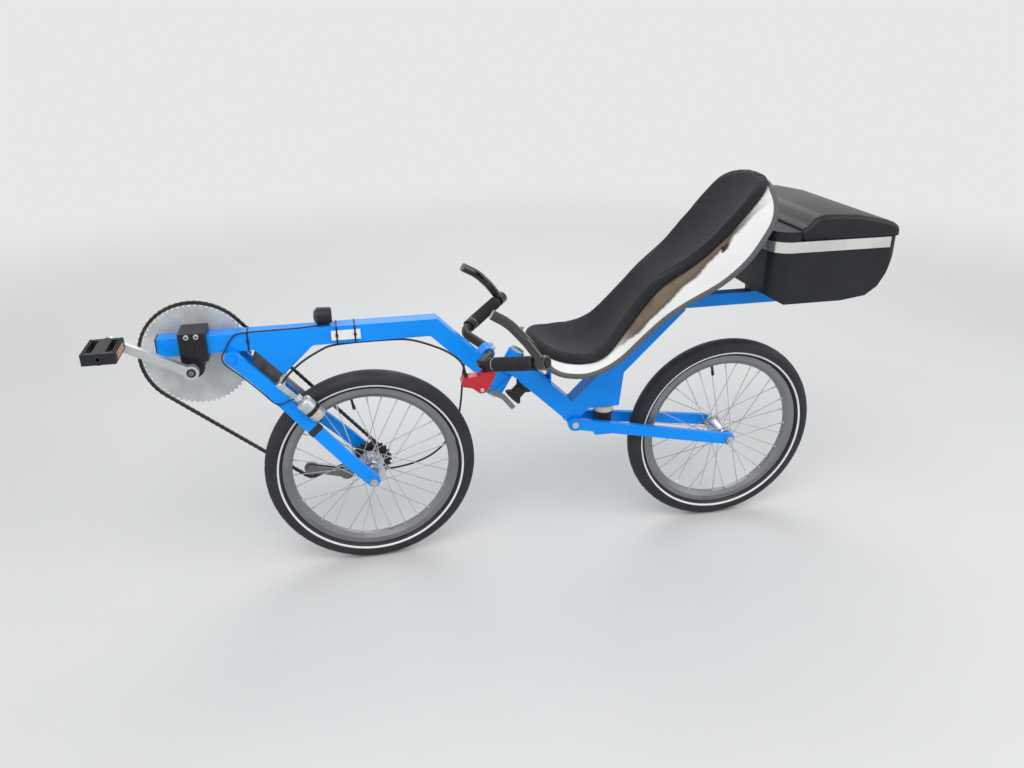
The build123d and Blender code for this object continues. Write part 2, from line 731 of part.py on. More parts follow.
def bracket(x0, x1, low, top):
    """A box bracket between two lines, low and top, each given as its height at x."""
    plate(((x0, low(x0)), (x1, low(x1)), (x1, top(x1)), (x0, top(x0))), -BRACKET_WIDTH / 2, BRACKET_WIDTH / 2)
    a = x0 + BRACKET_WALL
    b = x1 - BRACKET_WALL
    lift = BRACKET_WALL * 1.4
    plate(
        ((a, low(a) + lift), (b, low(b) + lift), (b, top(b) - lift), (a, top(a) - lift)),
        -BRACKET_WIDTH / 2,
        BRACKET_WIDTH / 2,
        mode=Mode.SUBTRACT,
    )


def v_front_top(x):
    return v_start.Z - (x - v_start.X) * front_slope + tube_rise


def shell_front_under(x):
    return seat_arc_z - math.sqrt((SEAT_RADIUS + SHELL_T + CLEARANCE) ** 2 - x**2)


def carrier_top(x):
    return carrier_z + CARRIER_TUBE / 2 + CLEARANCE


back = seat_plane(arc_end)


def shell_back_middle(x):
    """The middle of the shell's thickness behind the back, on the middle plane."""
    past = (x - back.origin.X) / math.cos(math.radians(SEAT_BACK_ANGLE))
    out = (seat_values(arc_end + past)[2] - SHELL_T / 2) / math.cos(math.radians(SEAT_BACK_ANGLE))
    return back.origin.Z + (x - back.origin.X) * math.tan(math.radians(SEAT_BACK_ANGLE)) + out


with BuildPart() as seat_front_bracket:
    x0 = FRONT_BRACKET_X
    bracket(x0, x0 + FRONT_BRACKET_LENGTH, v_front_top, shell_front_under)
    cross_rod(
        0, seat_arc_z, -REAR_TUBE, REAR_TUBE, SEAT_RADIUS + SHELL_T + CLEARANCE, mode=Mode.SUBTRACT
    )
write(seat_front_bracket.part, "seat_front_bracket")

with BuildPart() as seat_rear_bracket:
    x0 = carrier_x - REAR_BRACKET_LENGTH / 4
    bracket(x0, x0 + REAR_BRACKET_LENGTH, carrier_top, shell_back_middle)
    add(seat_shell.part.moved(Location((0, 0, -CLEARANCE))), mode=Mode.SUBTRACT)
write(seat_rear_bracket.part, "seat_rear_bracket")

# Case behind the seat: base with a fixed deck in front, silver band, lid on a hinge at its rear edge
CASE_HALF = 190.0
CASE_WALL = 3.0
CASE_LIFT = 38.0
CASE_DEPTH = 142.0
CASE_BEHIND_SEAT = 46.2
CASE_REAR = 716.0
CASE_CORNER_FRONT = 40.0
CASE_CORNER_REAR = 24.0
DECK_RISE = 22.0
DECK_LENGTH = 58.0
BAND_HEIGHT = 24.0
BAND_T = 2.5
LID_GAP = 1.0
LID_RISE = 54.0
HINGE_PIN_D = 8.0
HINGE_BARREL_D = 15.0
HINGE_OUT = 12.0
HINGE_DROP = 9.0
HINGE_INNER = 50.0
HINGE_OUTER = 90.0

floor_z = carrier_z + CASE_LIFT
rim_z = floor_z + CASE_DEPTH
deck_z = rim_z + DECK_RISE
case_front = back.origin.X + (deck_z - back.origin.Z) / math.tan(math.radians(SEAT_BACK_ANGLE)) + CASE_BEHIND_SEAT
deck_rear = case_front + DECK_LENGTH
hinge_x = CASE_REAR + HINGE_OUT
hinge_z = rim_z - HINGE_DROP

# places forward of the case's rear, heights above its floor
CASE_OUTLINE = (
    (CASE_REAR - case_front, CASE_DEPTH + DECK_RISE),
    (CASE_REAR - case_front, 18.0),
    (CASE_REAR - case_front - 34.0, 0.0),
    (126.0, 0.0),
    (66.0, 8.0),
    (38.0, 28.0),
    (22.0, 56.0),
    (0.0, 115.0),
    (0.0, CASE_DEPTH + DECK_RISE),
)
# places forward of the case's rear, heights above its rim; the front curves up from the deck
LID_OUTLINE = (
    (CASE_REAR - deck_rear - LID_GAP, -2 * CASE_WALL),
    (CASE_REAR - deck_rear - LID_GAP, DECK_RISE),
    (CASE_REAR - deck_rear - 14.0, 30.0),
    (CASE_REAR - deck_rear - 32.0, LID_RISE - 1),
    (CASE_REAR - deck_rear - 60.0, LID_RISE),
    (106.0, LID_RISE - 4),
    (34.0, 35.0),
    (0.0, 20.0),
    (0.0, -2 * CASE_WALL),
)


def plan_box(inset, x_front, corner):
    """Keeps what lies inside a plan view outline with rounded corners, inset from the case's own."""
    x_rear = CASE_REAR - inset
    half_width = CASE_HALF - inset
    with BuildSketch(Plane.XY.offset(floor_z - CASE_DEPTH)) as plan:
        with BuildLine():
            FilletPolyline(
                (x_rear, half_width),
                (x_front, half_width),
                (x_front, -half_width),
                (x_rear, -half_width),
                radius=(CASE_CORNER_REAR - inset, corner, corner, CASE_CORNER_REAR - inset),
                close=True,
            )
        make_face()
    return plan.sketch


def shell_box(outline, level, x_front, corner):
    """A hollow case with a side view outline above level, its plan corners rounded."""
    points = [(CASE_REAR - ahead, level + up) for ahead, up in outline]
    with BuildPart(mode=Mode.PRIVATE) as hollow:
        with BuildSketch(side()):
            with BuildLine():
                Polyline(*points, close=True)
            make_face()
            offset(amount=-CASE_WALL, kind=Kind.INTERSECTION)
        extrude(amount=CASE_HALF, both=True)
        extrude(
            plan_box(CASE_WALL, x_front + CASE_WALL, corner - CASE_WALL),
            amount=4 * CASE_DEPTH,
            mode=Mode.INTERSECT,
        )
    with BuildSketch(side()) as outer:
        with BuildLine():
            Polyline(*points, close=True)
        make_face()
    extrude(outer.sketch, amount=CASE_HALF, both=True)
    extrude(plan_box(0.0, x_front, corner), amount=4 * CASE_DEPTH, mode=Mode.INTERSECT)
    add(hollow.part, mode=Mode.SUBTRACT)


def cut_beyond(x_low, z_low, z_high):
    """Cuts the case away between two heights, behind x_low."""
    x_high = CASE_REAR + CASE_DEPTH
    plate(
        ((x_low, z_low), (x_high, z_low), (x_high, z_high), (x_low, z_high)),
        -2 * CASE_HALF,
        2 * CASE_HALF,
        mode=Mode.SUBTRACT,
    )


with BuildPart() as topcase_base:
    shell_box(CASE_OUTLINE, floor_z, case_front, CASE_CORNER_FRONT)
    cut_beyond(deck_rear, rim_z, rim_z + 2 * DECK_RISE)
    plate(
        (
            (CASE_REAR - 1, hinge_z - 22),
            (hinge_x + HINGE_BARREL_D / 2, hinge_z),
            (hinge_x, hinge_z + HINGE_BARREL_D / 2),
            (CASE_REAR - 1, hinge_z + HINGE_BARREL_D / 2),
        ),
        -HINGE_INNER + 1,
        HINGE_INNER - 1,
    )
    cross_rod(hinge_x, hinge_z, -HINGE_OUTER, HINGE_OUTER, HINGE_PIN_D / 2)
write(topcase_base.part, "topcase_base")

with BuildPart() as topcase_band:
    extrude(
        plan_box(-CLEARANCE - BAND_T, case_front - CLEARANCE - BAND_T, CASE_CORNER_FRONT + CLEARANCE + BAND_T),
        amount=4 * CASE_DEPTH,
    )
    extrude(
        plan_box(-CLEARANCE, case_front - CLEARANCE, CASE_CORNER_FRONT + CLEARANCE),
        amount=4 * CASE_DEPTH,
        mode=Mode.SUBTRACT,
    )
    x1 = CASE_REAR - CASE_CORNER_REAR
    x0 = case_front - CASE_CORNER_FRONT
    plate(
        ((x0, rim_z - BAND_HEIGHT), (x1, rim_z - BAND_HEIGHT), (x1, rim_z), (x0, rim_z)),
        -2 * CASE_HALF,
        2 * CASE_HALF,
        mode=Mode.INTERSECT,
    )
write(topcase_band.part, "topcase_band")

with BuildPart() as topcase_lid:
    shell_box(LID_OUTLINE, rim_z, deck_rear + LID_GAP, 2 * CASE_WALL)
    cut_beyond(case_front, rim_z - 4 * CASE_WALL, rim_z + LID_GAP)
    for hand in (-1, 1):
        y0, y1 = sorted((hand * HINGE_INNER, hand * HINGE_OUTER))
        cross_rod(hinge_x, hinge_z, y0, y1, HINGE_BARREL_D / 2)
        plate(
            (
                (hinge_x, hinge_z),
                (hinge_x + HINGE_BARREL_D / 2, hinge_z),
                (hinge_x + HINGE_BARREL_D / 2, rim_z + 8),
                (CASE_REAR - 2, rim_z + 17),
                (CASE_REAR - 2, rim_z + LID_GAP),
                (hinge_x, rim_z + LID_GAP),
            ),
            y0,
            y1,
        )
    cross_rod(
        hinge_x, hinge_z, -HINGE_OUTER, HINGE_OUTER, HINGE_PIN_D / 2 + CLEARANCE, mode=Mode.SUBTRACT
    )
write(topcase_lid.part, "topcase_lid")

PLATE_T = 6.0
PLATE_HALF = 80.0
PLATE_FRONT = 450.0
PLATE_REAR = 595.0
with BuildPart() as carrier_plate:
    plate_top = floor_z - CLEARANCE
    x0 = PLATE_FRONT
    x1 = PLATE_REAR
    plate(
        ((x0, plate_top - PLATE_T), (x1, plate_top - PLATE_T), (x1, plate_top), (x0, plate_top)),
        -PLATE_HALF,
        PLATE_HALF,
    )
    for x in (x0 + 10, x1 - 30):
        plate(
            ((x, carrier_top(x)), (x + 20, carrier_top(x)), (x + 20, plate_top), (x, plate_top)),
            -CARRIER_TUBE / 2,
            CARRIER_TUBE / 2,
        )
write(carrier_plate.part, "carrier_plate")

# Drive: chainring on the boom, cassette on the front wheel
CHAIN_PITCH = 12.7
CHAIN_Y = 45.0
CHAIN_W = 5.6
LINK_END_H = 8.4
LINK_WAIST_H = 6.2
RING_TEETH = 60
RING_T = 3.0
CHAIN_SEAT = 0.4
COG_T = 1.8
PULLEY_TEETH = 11
BB_AHEAD = 362.0
BB_DROP = 24.0
BB_SHELL_D = 46.0
BB_SHELL_LENGTH = 68.0
BB_CLAMP_LENGTH = 56.0
BB_CLAMP_HALF = 34.0
BB_CLAMP_WALL = 12.0
SPINDLE_D = 17.0

# teeth of the cogs from the wheel outwards; the chain lies on the middle one
COG_TEETH = (24, 21, 18, 16, 14)
COG_SPACING = 5.3
PULLEY_1_AHEAD = 143.0
PULLEY_1_DROP = 13.0
PULLEY_2_AHEAD = 60.0
PULLEY_2_DROP = 35.0

drive_cog = len(COG_TEETH) // 2
bb_x = front_x - BB_AHEAD
bb_z = boom_under - BB_DROP


def pitch_r(teeth):
    return CHAIN_PITCH / (2 * math.sin(math.pi / teeth))


def toothed_disc(x, z, y, thickness, tip_r, teeth, depth):
    """A disc with pointed teeth, its middle plane at y."""
    points = []
    for i in range(teeth):
        for share, r in ((0.0, tip_r - depth), (0.3, tip_r - depth), (0.5, tip_r), (0.8, tip_r)):
            angle = 2 * math.pi * (i + share) / teeth
            points.append((x + r * math.cos(angle), z + r * math.sin(angle)))
    plate(points, y - thickness / 2, y + thickness / 2)


# x, z, teeth, way round: 1 is counter-clockwise seen from the left
CHAIN_ROUTE = (
    (bb_x, bb_z, RING_TEETH, 1),
    (front_x - PULLEY_1_AHEAD, axle_z - PULLEY_1_DROP, PULLEY_TEETH, 1),
    (front_x - PULLEY_2_AHEAD, axle_z - PULLEY_2_DROP, PULLEY_TEETH, -1),
    (front_x, axle_z, COG_TEETH[drive_cog], 1),
)


def chain_runs():
    """The straight runs between the wheels, each from its wheel to the next."""
    runs = []
    for i, (x, z, teeth, way) in enumerate(CHAIN_ROUTE):
        x2, z2, teeth2, way2 = CHAIN_ROUTE[(i + 1) % len(CHAIN_ROUTE)]
        distance = math.hypot(x2 - x, z2 - z)
        turn = way2 * pitch_r(teeth2) - way * pitch_r(teeth)
        heading = math.atan2(z2 - z, x2 - x) - math.asin(turn / distance)
        normal = (-math.sin(heading), math.cos(heading))
        start = (x - way * pitch_r(teeth) * normal[0], z - way * pitch_r(teeth) * normal[1])
        end = (x2 - way2 * pitch_r(teeth2) * normal[0], z2 - way2 * pitch_r(teeth2) * normal[1])
        runs.append((start, end, heading))
    return runs


def chain_line(step):
    """Points and headings at even steps round the whole loop."""
    stretches = []
    runs = chain_runs()
    for i, (start, end, heading) in enumerate(runs):
        stretches.append(("run", math.dist(start, end), start, heading, 0.0))
        x, z, teeth, way = CHAIN_ROUTE[(i + 1) % len(CHAIN_ROUTE)]
        next_heading = runs[(i + 1) % len(runs)][2]
        sweep_angle = (way * (next_heading - heading)) % (2 * math.pi)
        stretches.append(("arc", sweep_angle * pitch_r(teeth), (x, z), heading, way * pitch_r(teeth)))
    total = sum(stretch[1] for stretch in stretches)
    count = 2 * round(total / step / 2)
    points = []
    for i in range(count):
        at = i * total / count
        for kind, length, origin, heading, radius in stretches:
            if at < length:
                break
            at -= length
        if kind == "run":
            points.append((origin[0] + at * math.cos(heading), origin[1] + at * math.sin(heading), heading))
        else:
            angle = heading + at / radius
            points.append((origin[0] + radius * math.sin(angle), origin[1] - radius * math.cos(angle), angle))
    return points


with BuildPart() as chain:
    line = chain_line(CHAIN_PITCH / 2)
    for side_sign, mode in ((1, Mode.ADD), (-1, Mode.SUBTRACT)):
        edge = []
        for i, (x, z, heading) in enumerate(line):
            height = (LINK_END_H, LINK_WAIST_H)[i % 2] / 2 * side_sign
            edge.append((x + height * math.sin(heading), z - height * math.cos(heading)))
        plate(edge, CHAIN_Y - CHAIN_W / 2, CHAIN_Y + CHAIN_W / 2, mode=mode)
write(chain.part, "chain")

RING_WINDOW_D = 60.0
RING_TOOTH = 4.0
with BuildPart() as chainring:
    ring_tip = pitch_r(RING_TEETH) - LINK_END_H / 2 - CHAIN_SEAT
    toothed_disc(bb_x, bb_z, CHAIN_Y, RING_T, ring_tip, RING_TEETH, RING_TOOTH)
    with BuildSketch(across(bb_x, bb_z, CHAIN_Y + RING_T)):
        RegularPolygon(RING_WINDOW_D / 2, 5)
    extrude(amount=2 * RING_T, mode=Mode.SUBTRACT)
write(chainring.part, "chainring")

CRANK_LENGTH = 170.0
CRANK_ANGLE = 151.3
CRANK_INNER = 52.0
CRANK_T = 14.0
CRANK_BOSS_R = 15.5
CRANK_EYE_R = 11.5
CRANK_ROOT_R = 10.0
CRANK_TIP_R = 8.5
PEDAL_SPINDLE_D = 9.0
PEDAL_START = 5.0
PEDAL_LENGTH = 90.0
PEDAL_HALF = 32.0
PEDAL_T = 23.0
PEDAL_RIM = 7.0
PEDAL_BARREL_D = 25.0
PEDAL_END_W = 10.0
SPIDER_ARM_R = 46.0
SPIDER_ARM_W = 20.0
SPIDER_ARMS = 5

crank_dir = (math.cos(math.radians(CRANK_ANGLE)), math.sin(math.radians(CRANK_ANGLE)))
for name, hand in (("left", -1), ("right", 1)):
    eye_x = bb_x - hand * CRANK_LENGTH * crank_dir[0]
    eye_z = bb_z - hand * CRANK_LENGTH * crank_dir[1]
    y0, y1 = sorted((hand * CRANK_INNER, hand * (CRANK_INNER + CRANK_T)))
    with BuildPart() as crank:
        with BuildSketch(side(y1)):
            with Locations((bb_x, bb_z)):
                Circle(CRANK_ROOT_R)
            with Locations((eye_x, eye_z)):
                Circle(CRANK_TIP_R)
            make_hull()
            with Locations((bb_x, bb_z)):
                Circle(CRANK_BOSS_R)
            with Locations((eye_x, eye_z)):
                Circle(CRANK_EYE_R)
        extrude(amount=CRANK_T)
        if hand > 0:
            spider_y = CHAIN_Y + RING_T / 2 + CLEARANCE
            cross_rod(bb_x, bb_z, spider_y, y0, CRANK_BOSS_R)
            for i in range(SPIDER_ARMS):
                angle = math.radians(90 + i * 360 / SPIDER_ARMS)
                tip = (bb_x + SPIDER_ARM_R * math.cos(angle), bb_z + SPIDER_ARM_R * math.sin(angle))
                plate(strip(((bb_x, bb_z), tip), SPIDER_ARM_W / 2), spider_y, y0)
        cross_rod(
            bb_x, bb_z, min(y0, -CRANK_INNER), max(y1, CRANK_INNER), SPINDLE_D / 2 + CLEARANCE, mode=Mode.SUBTRACT
        )
        y_tip = hand * (CRANK_INNER + CRANK_T + PEDAL_START + PEDAL_LENGTH)
        y_lo, y_hi = sorted((hand * (CRANK_INNER + CRANK_T), y_tip))
        cross_rod(eye_x, eye_z, y_lo, y_hi, PEDAL_SPINDLE_D / 2)
    write(crank.part, name + "_crank")

    # a flat pedal: a frame with a barrel across it
    with BuildPart() as pedal:
        y_lo, y_hi = sorted((hand * (CRANK_INNER + CRANK_T + PEDAL_START), y_tip))
        x0, x1 = eye_x - PEDAL_HALF, eye_x + PEDAL_HALF
        z0, z1 = eye_z - PEDAL_T / 2, eye_z + PEDAL_T / 2
        plate(((x0, z0), (x1, z0), (x1, z1), (x0, z1)), y_lo, y_hi)
        for a, b in ((x0 + PEDAL_RIM, eye_x - PEDAL_BARREL_D / 2), (eye_x + PEDAL_BARREL_D / 2, x1 - PEDAL_RIM)):
            plate(
                ((a, z0 - 1), (b, z0 - 1), (b, z1 + 1), (a, z1 + 1)),
                y_lo + PEDAL_END_W,
                y_hi - PEDAL_END_W,
                mode=Mode.SUBTRACT,
            )
        cross_rod(eye_x, eye_z, y_lo, y_hi, PEDAL_BARREL_D / 2)
        cross_rod(eye_x, eye_z, y_lo, y_hi, PEDAL_SPINDLE_D / 2 + CLEARANCE, mode=Mode.SUBTRACT)
    write(pedal.part, name + "_pedal")

with BuildPart() as crank_spindle:
    cross_rod(bb_x, bb_z, -CRANK_INNER - CRANK_T, CRANK_INNER + CRANK_T, SPINDLE_D / 2)
write(crank_spindle.part, "crank_spindle")

with BuildPart() as bottom_bracket_clamp:
    x0 = bb_x + 6 - BB_CLAMP_LENGTH / 2
    x1 = x0 + BB_CLAMP_LENGTH
    z0 = boom_under - BB_CLAMP_WALL
    z1 = boom_top + BB_CLAMP_WALL
    plate(((x0, z0), (x1, z0), (x1, z1), (x0, z1)), -BB_CLAMP_HALF, BB_CLAMP_HALF)
    cross_rod(bb_x, bb_z, -BB_SHELL_LENGTH / 2, BB_SHELL_LENGTH / 2, BB_SHELL_D / 2)
    hole = BOOM_SIDE / 2 + CLEARANCE
    plate(
        ((x0, boom_z - hole), (x1, boom_z - hole), (x1, boom_z + hole), (x0, boom_z + hole)),
        -hole,
        hole,
        mode=Mode.SUBTRACT,
    )
    cross_rod(
        bb_x, bb_z, -BB_SHELL_LENGTH, BB_SHELL_LENGTH, SPINDLE_D / 2 + CLEARANCE, mode=Mode.SUBTRACT
    )
write(bottom_bracket_clamp.part, "bottom_bracket_clamp")

# Two cap screws high on the clamp's near side
CLAMP_SCREW_D = 11.0
CLAMP_SCREW_HEAD = 6.0
CLAMP_SCREW_UP = 6.0
CLAMP_SCREW_APART = 20.0
with BuildPart() as clamp_bolts:
    for x in ((x0 + x1 - CLAMP_SCREW_APART) / 2, (x0 + x1 + CLAMP_SCREW_APART) / 2):
        cross_rod(
            x,
            boom_top + CLAMP_SCREW_UP,
            -BB_CLAMP_HALF - CLAMP_SCREW_HEAD,
            -BB_CLAMP_HALF - CLEARANCE,
            CLAMP_SCREW_D / 2,
        )
write(clamp_bolts.part, "clamp_bolts")

with BuildPart() as cassette:
    for i, teeth in enumerate(COG_TEETH):
        y = CHAIN_Y + (i - drive_cog) * COG_SPACING
        if i == drive_cog:
            tip_r = pitch_r(teeth) - LINK_END_H / 2 - CHAIN_SEAT
        else:
            tip_r = pitch_r(teeth) + 2
        toothed_disc(front_x, axle_z, y, COG_T, tip_r, teeth, 5.0)
    cross_rod(front_x, axle_z, 31.0, 58.0, 23.0)
    cross_rod(front_x, axle_z, 30.0, 60.0, 20.0 - 3.0 + CLEARANCE, mode=Mode.SUBTRACT)
write(cassette.part, "cassette")

# Derailleur: two toothed pulleys between cage plates, on an arm from the dropout
CAGE_T = 2.0
CAGE_GAP = 1.6
with BuildPart() as derailleur:
    (x1, z1, teeth, way), (x2, z2, teeth, way) = CHAIN_ROUTE[1], CHAIN_ROUTE[2]
    for x, z in ((x1, z1), (x2, z2)):
        cross_rod(x, z, CHAIN_Y - 1.5, CHAIN_Y + 1.5, pitch_r(PULLEY_TEETH) - LINK_END_H / 2 - CHAIN_SEAT)
        cross_rod(x, z, CHAIN_Y - CHAIN_W / 2 - CAGE_GAP - CAGE_T, CHAIN_Y + CHAIN_W / 2 + CAGE_GAP + CAGE_T, 4.0)
    for y in (CHAIN_Y - CHAIN_W / 2 - CAGE_GAP - CAGE_T, CHAIN_Y + CHAIN_W / 2 + CAGE_GAP):
        plate(strip(((x1, z1), (x2, z2)), 10.0), y, y + CAGE_T)
        cross_rod(x1, z1, y, y + CAGE_T, 12.0)
        cross_rod(x2, z2, y, y + CAGE_T, 12.0)
    cage_y = CHAIN_Y + CHAIN_W / 2 + CAGE_GAP + CAGE_T
    arm_y = FRONT_OLD / 2 - CLEARANCE
    plate(strip(((x2, z2), (front_x - HANGER_AHEAD, axle_z - HANGER_DROP)), HANGER_HALF), cage_y, cage_y + 6)
    cross_rod(x2, z2, cage_y - CAGE_T, cage_y + 6, 12.0)
    cross_rod(front_x - HANGER_AHEAD, axle_z - HANGER_DROP, cage_y, arm_y, HANGER_HALF)
write(derailleur.part, "derailleur")

# Handlebar behind the boom's fall, with grips that reach back past the rider's knees
BAR_D = 22.2
GRIP_D = 32.0
BAR_END_D = 22.0
STEM_D = 29.0
STEM_W = 40.0
BAR_BEND_R = 40.0

# half of the bar
BAR_POINTS = ((-192.0, 30.0, -8.0), (-233.0, 110.0, 4.0), (-107.0, 235.0, 47.0))
bar_points = [(x, -y, z) for x, y, z in BAR_POINTS[::-1]] + list(BAR_POINTS)

with BuildPart() as handlebar:
    bent_tube(bar_points, BAR_BEND_R, BAR_D / 2)
write(handlebar.part, "handlebar")

bar_x, _, bar_z = BAR_POINTS[0]
fall_dir = Vector(math.cos(math.radians(BOOM_FALL_ANGLE)), 0, -math.sin(math.radians(BOOM_FALL_ANGLE)))
with BuildPart() as handlebar_clamp:
    cross_rod(bar_x, bar_z, -STEM_W / 2, STEM_W / 2, STEM_D / 2)
    stem_from = Vector(bar_x, 0, bar_z)
    up_normal = Vector(-fall_dir.Z, 0, fall_dir.X)
    seat_distance = (stem_from - head).dot(up_normal) - BOOM_SIDE / 2 - CLEARANCE
    with BuildSketch(Plane(origin=stem_from, x_dir=fall_dir, z_dir=-up_normal)):
        Rectangle(STEM_D, STEM_W)
    extrude(amount=seat_distance)
    cross_rod(bar_x, bar_z, -STEM_W, STEM_W, BAR_D / 2 + CLEARANCE, mode=Mode.SUBTRACT)
write(handlebar_clamp.part, "handlebar_clamp")

SHIFT_RING_START = 28.0
SHIFT_RING_W = 15.0
SHIFT_RING_D = 31.0
GRIP_START = 45.0
GRIP_END = 150.0
BAR_CLAMP_START = 161.5
BAR_CLAMP_D = 32.0
BAR_CLAMP_W = 20.0
BAR_END_BEND_R = 100.0
BAR_END_POINTS = ((-146.0, 214.0, 88.0), (-180.0, 192.0, 125.0), (-216.0, 186.0, 146.0))
shift_rings = Part()
for name, hand in (("left", -1), ("right", 1)):
    bend = Vector(BAR_POINTS[1][0], hand * BAR_POINTS[1][1], BAR_POINTS[1][2])
    tip = Vector(BAR_POINTS[2][0], hand * BAR_POINTS[2][1], BAR_POINTS[2][2])
    grip_dir = (tip - bend).normalized()
    with BuildPart() as ring:
        start = bend + grip_dir * SHIFT_RING_START
        rod(start, start + grip_dir * SHIFT_RING_W, SHIFT_RING_D / 2, BAR_D / 2 + CLEARANCE)
    shift_rings += ring.part

    with BuildPart() as grip:
        rod(bend + grip_dir * GRIP_START, bend + grip_dir * GRIP_END, GRIP_D / 2, BAR_D / 2 + CLEARANCE)
    write(grip.part, name + "_grip")

    with BuildPart() as bar_end:
        clamp_low = bend + grip_dir * BAR_CLAMP_START
        clamp_top = clamp_low + grip_dir * BAR_CLAMP_W
        root = (clamp_low + clamp_top) * 0.5
        rod(clamp_low, clamp_top, BAR_CLAMP_D / 2)
        ends = [(x, hand * y, z) for x, y, z in BAR_END_POINTS]
        bent_tube([tuple(root)] + ends, BAR_END_BEND_R, BAR_END_D / 2)
        add(handlebar.part, mode=Mode.SUBTRACT)
    write(bar_end.part, name + "_bar_end")
write(shift_rings, "shifters")

# Brake on the front wheel and its lever, dynamo, lamp
BRAKE_ARM_T = 7.0
BRAKE_ARM_Y = 29.5
BRAKE_ARM_LOW = 15.3
BRAKE_ARM_HIGH = 28.0
BRAKE_START = 108.0
BRAKE_BLOCK_END = 124.0
BRAKE_ARM_END = 214.0
PAD_LENGTH = 44.0
with BuildPart() as brake_caliper:
    for y0, y1, s0, s1 in (
        (-BRAKE_ARM_Y - BRAKE_ARM_T, BRAKE_ARM_Y + BRAKE_ARM_T, BRAKE_START, BRAKE_BLOCK_END),
        (-BRAKE_ARM_Y - BRAKE_ARM_T, -BRAKE_ARM_Y, BRAKE_BLOCK_END - 1, BRAKE_ARM_END),
        (BRAKE_ARM_Y, BRAKE_ARM_Y + BRAKE_ARM_T, BRAKE_BLOCK_END - 1, BRAKE_ARM_END),
    ):
        with BuildSketch(front_side.offset(-y1)):
            with Locations(((s0 + s1) / 2, (BRAKE_ARM_LOW + BRAKE_ARM_HIGH) / 2)):
                Rectangle(s1 - s0, BRAKE_ARM_HIGH - BRAKE_ARM_LOW)
        extrude(amount=y1 - y0)
write(brake_caliper.part, "brake_caliper")

DYNAMO_D = 38.0
DYNAMO_LENGTH = 60.0
DYNAMO_Y = -56.5
DYNAMO_AT = 196.0
with BuildPart() as dynamo:
    middle = front_side.origin + front_side.x_dir * DYNAMO_AT
    middle += front_side.y_dir * (FRONT_ARM_H / 2 + DYNAMO_D / 2 + CLEARANCE) + Vector(0, DYNAMO_Y, 0)
    start = middle - front_side.x_dir * (DYNAMO_LENGTH / 2)
    rod(start, start + front_side.x_dir * DYNAMO_LENGTH, DYNAMO_D / 2)
    rod(start - front_side.x_dir * 14, start, 9.0)
write(dynamo.part, "dynamo")

LAMP_FRONT = 102.0
LAMP_LENGTH = 41.0
LAMP_D = 38.0
with BuildPart() as headlamp:
    lamp_x = front_x - LAMP_FRONT
    lamp_z = boom_top + CLEARANCE + LAMP_D / 2 + 2.0
    rod((lamp_x, 0, lamp_z), (lamp_x + LAMP_LENGTH, 0, lamp_z), LAMP_D / 2)
    plate(
        (
            (lamp_x + 6, boom_top + CLEARANCE),
            (lamp_x + LAMP_LENGTH - 6, boom_top + CLEARANCE),
            (lamp_x + LAMP_LENGTH - 6, lamp_z),
            (lamp_x + 6, lamp_z),
        ),
        -9,
        9,
    )
write(headlamp.part, "headlamp")

# Brake lever: a body under the bar's left bend, and a blade on a pin in its slot
LEVER_BODY = (
    (-272.0, -16.0),
    (-276.0, -26.0),
    (-272.0, -35.0),
    (-252.0, -40.0),
    (-235.0, -54.0),
    (-225.0, -54.0),
    (-212.0, -38.0),
    (-198.0, -12.0),
    (-202.0, -4.0),
    (-220.0, -4.0),
    (-234.0, -12.0),
    (-250.0, -12.0),
)
LEVER_Y_LOW = -136.0
LEVER_Y_HIGH = -112.0
BLADE_LINE = ((-230.0, -46.0), (-208.0, -56.0), (-180.0, -73.0), (-157.0, -102.0))
BLADE_HALF = 5.5
BLADE_T = 7.0
BLADE_PIN_D = 5.0
blade_low = (LEVER_Y_LOW + LEVER_Y_HIGH - BLADE_T) / 2
blade_high = blade_low + BLADE_T
pin_x, pin_z = BLADE_LINE[0]
with BuildPart() as brake_lever:
    plate(LEVER_BODY, LEVER_Y_LOW, LEVER_Y_HIGH)
    plate(
        strip(BLADE_LINE, BLADE_HALF + CLEARANCE), blade_low - CLEARANCE, blade_high + CLEARANCE, mode=Mode.SUBTRACT
    )
    cross_rod(
        pin_x, pin_z, blade_low - CLEARANCE, blade_high + CLEARANCE, BLADE_HALF + CLEARANCE, mode=Mode.SUBTRACT
    )
    cross_rod(pin_x, pin_z, LEVER_Y_LOW, LEVER_Y_HIGH, BLADE_PIN_D / 2)
    add(handlebar.part, mode=Mode.SUBTRACT)
    add(shift_rings, mode=Mode.SUBTRACT)
write(brake_lever.part, "brake_lever")

with BuildPart() as lever_blade:
    plate(strip(BLADE_LINE, BLADE_HALF), blade_low, blade_high)
    cross_rod(pin_x, pin_z, blade_low, blade_high, BLADE_HALF)
    cross_rod(pin_x, pin_z, blade_low, blade_high, BLADE_PIN_D / 2 + CLEARANCE, mode=Mode.SUBTRACT)
write(lever_blade.part, "lever_blade")

# White reflecting strip tied to the boom's near side
STRIP_START = 66.0
STRIP_LENGTH = 64.0
STRIP_HEIGHT = 22.0
STRIP_T = 3.7
with BuildPart() as boom_strip:
    x0 = front_x - STRIP_START
    z0 = (boom_under + boom_top - STRIP_HEIGHT) / 2
    plate(
        ((x0, z0), (x0 + STRIP_LENGTH, z0), (x0 + STRIP_LENGTH, z0 + STRIP_HEIGHT), (x0, z0 + STRIP_HEIGHT)),
        -BOOM_SIDE / 2 - CLEARANCE - STRIP_T,
        -BOOM_SIDE / 2 - CLEARANCE,
    )
write(boom_strip.part, "boom_strip")

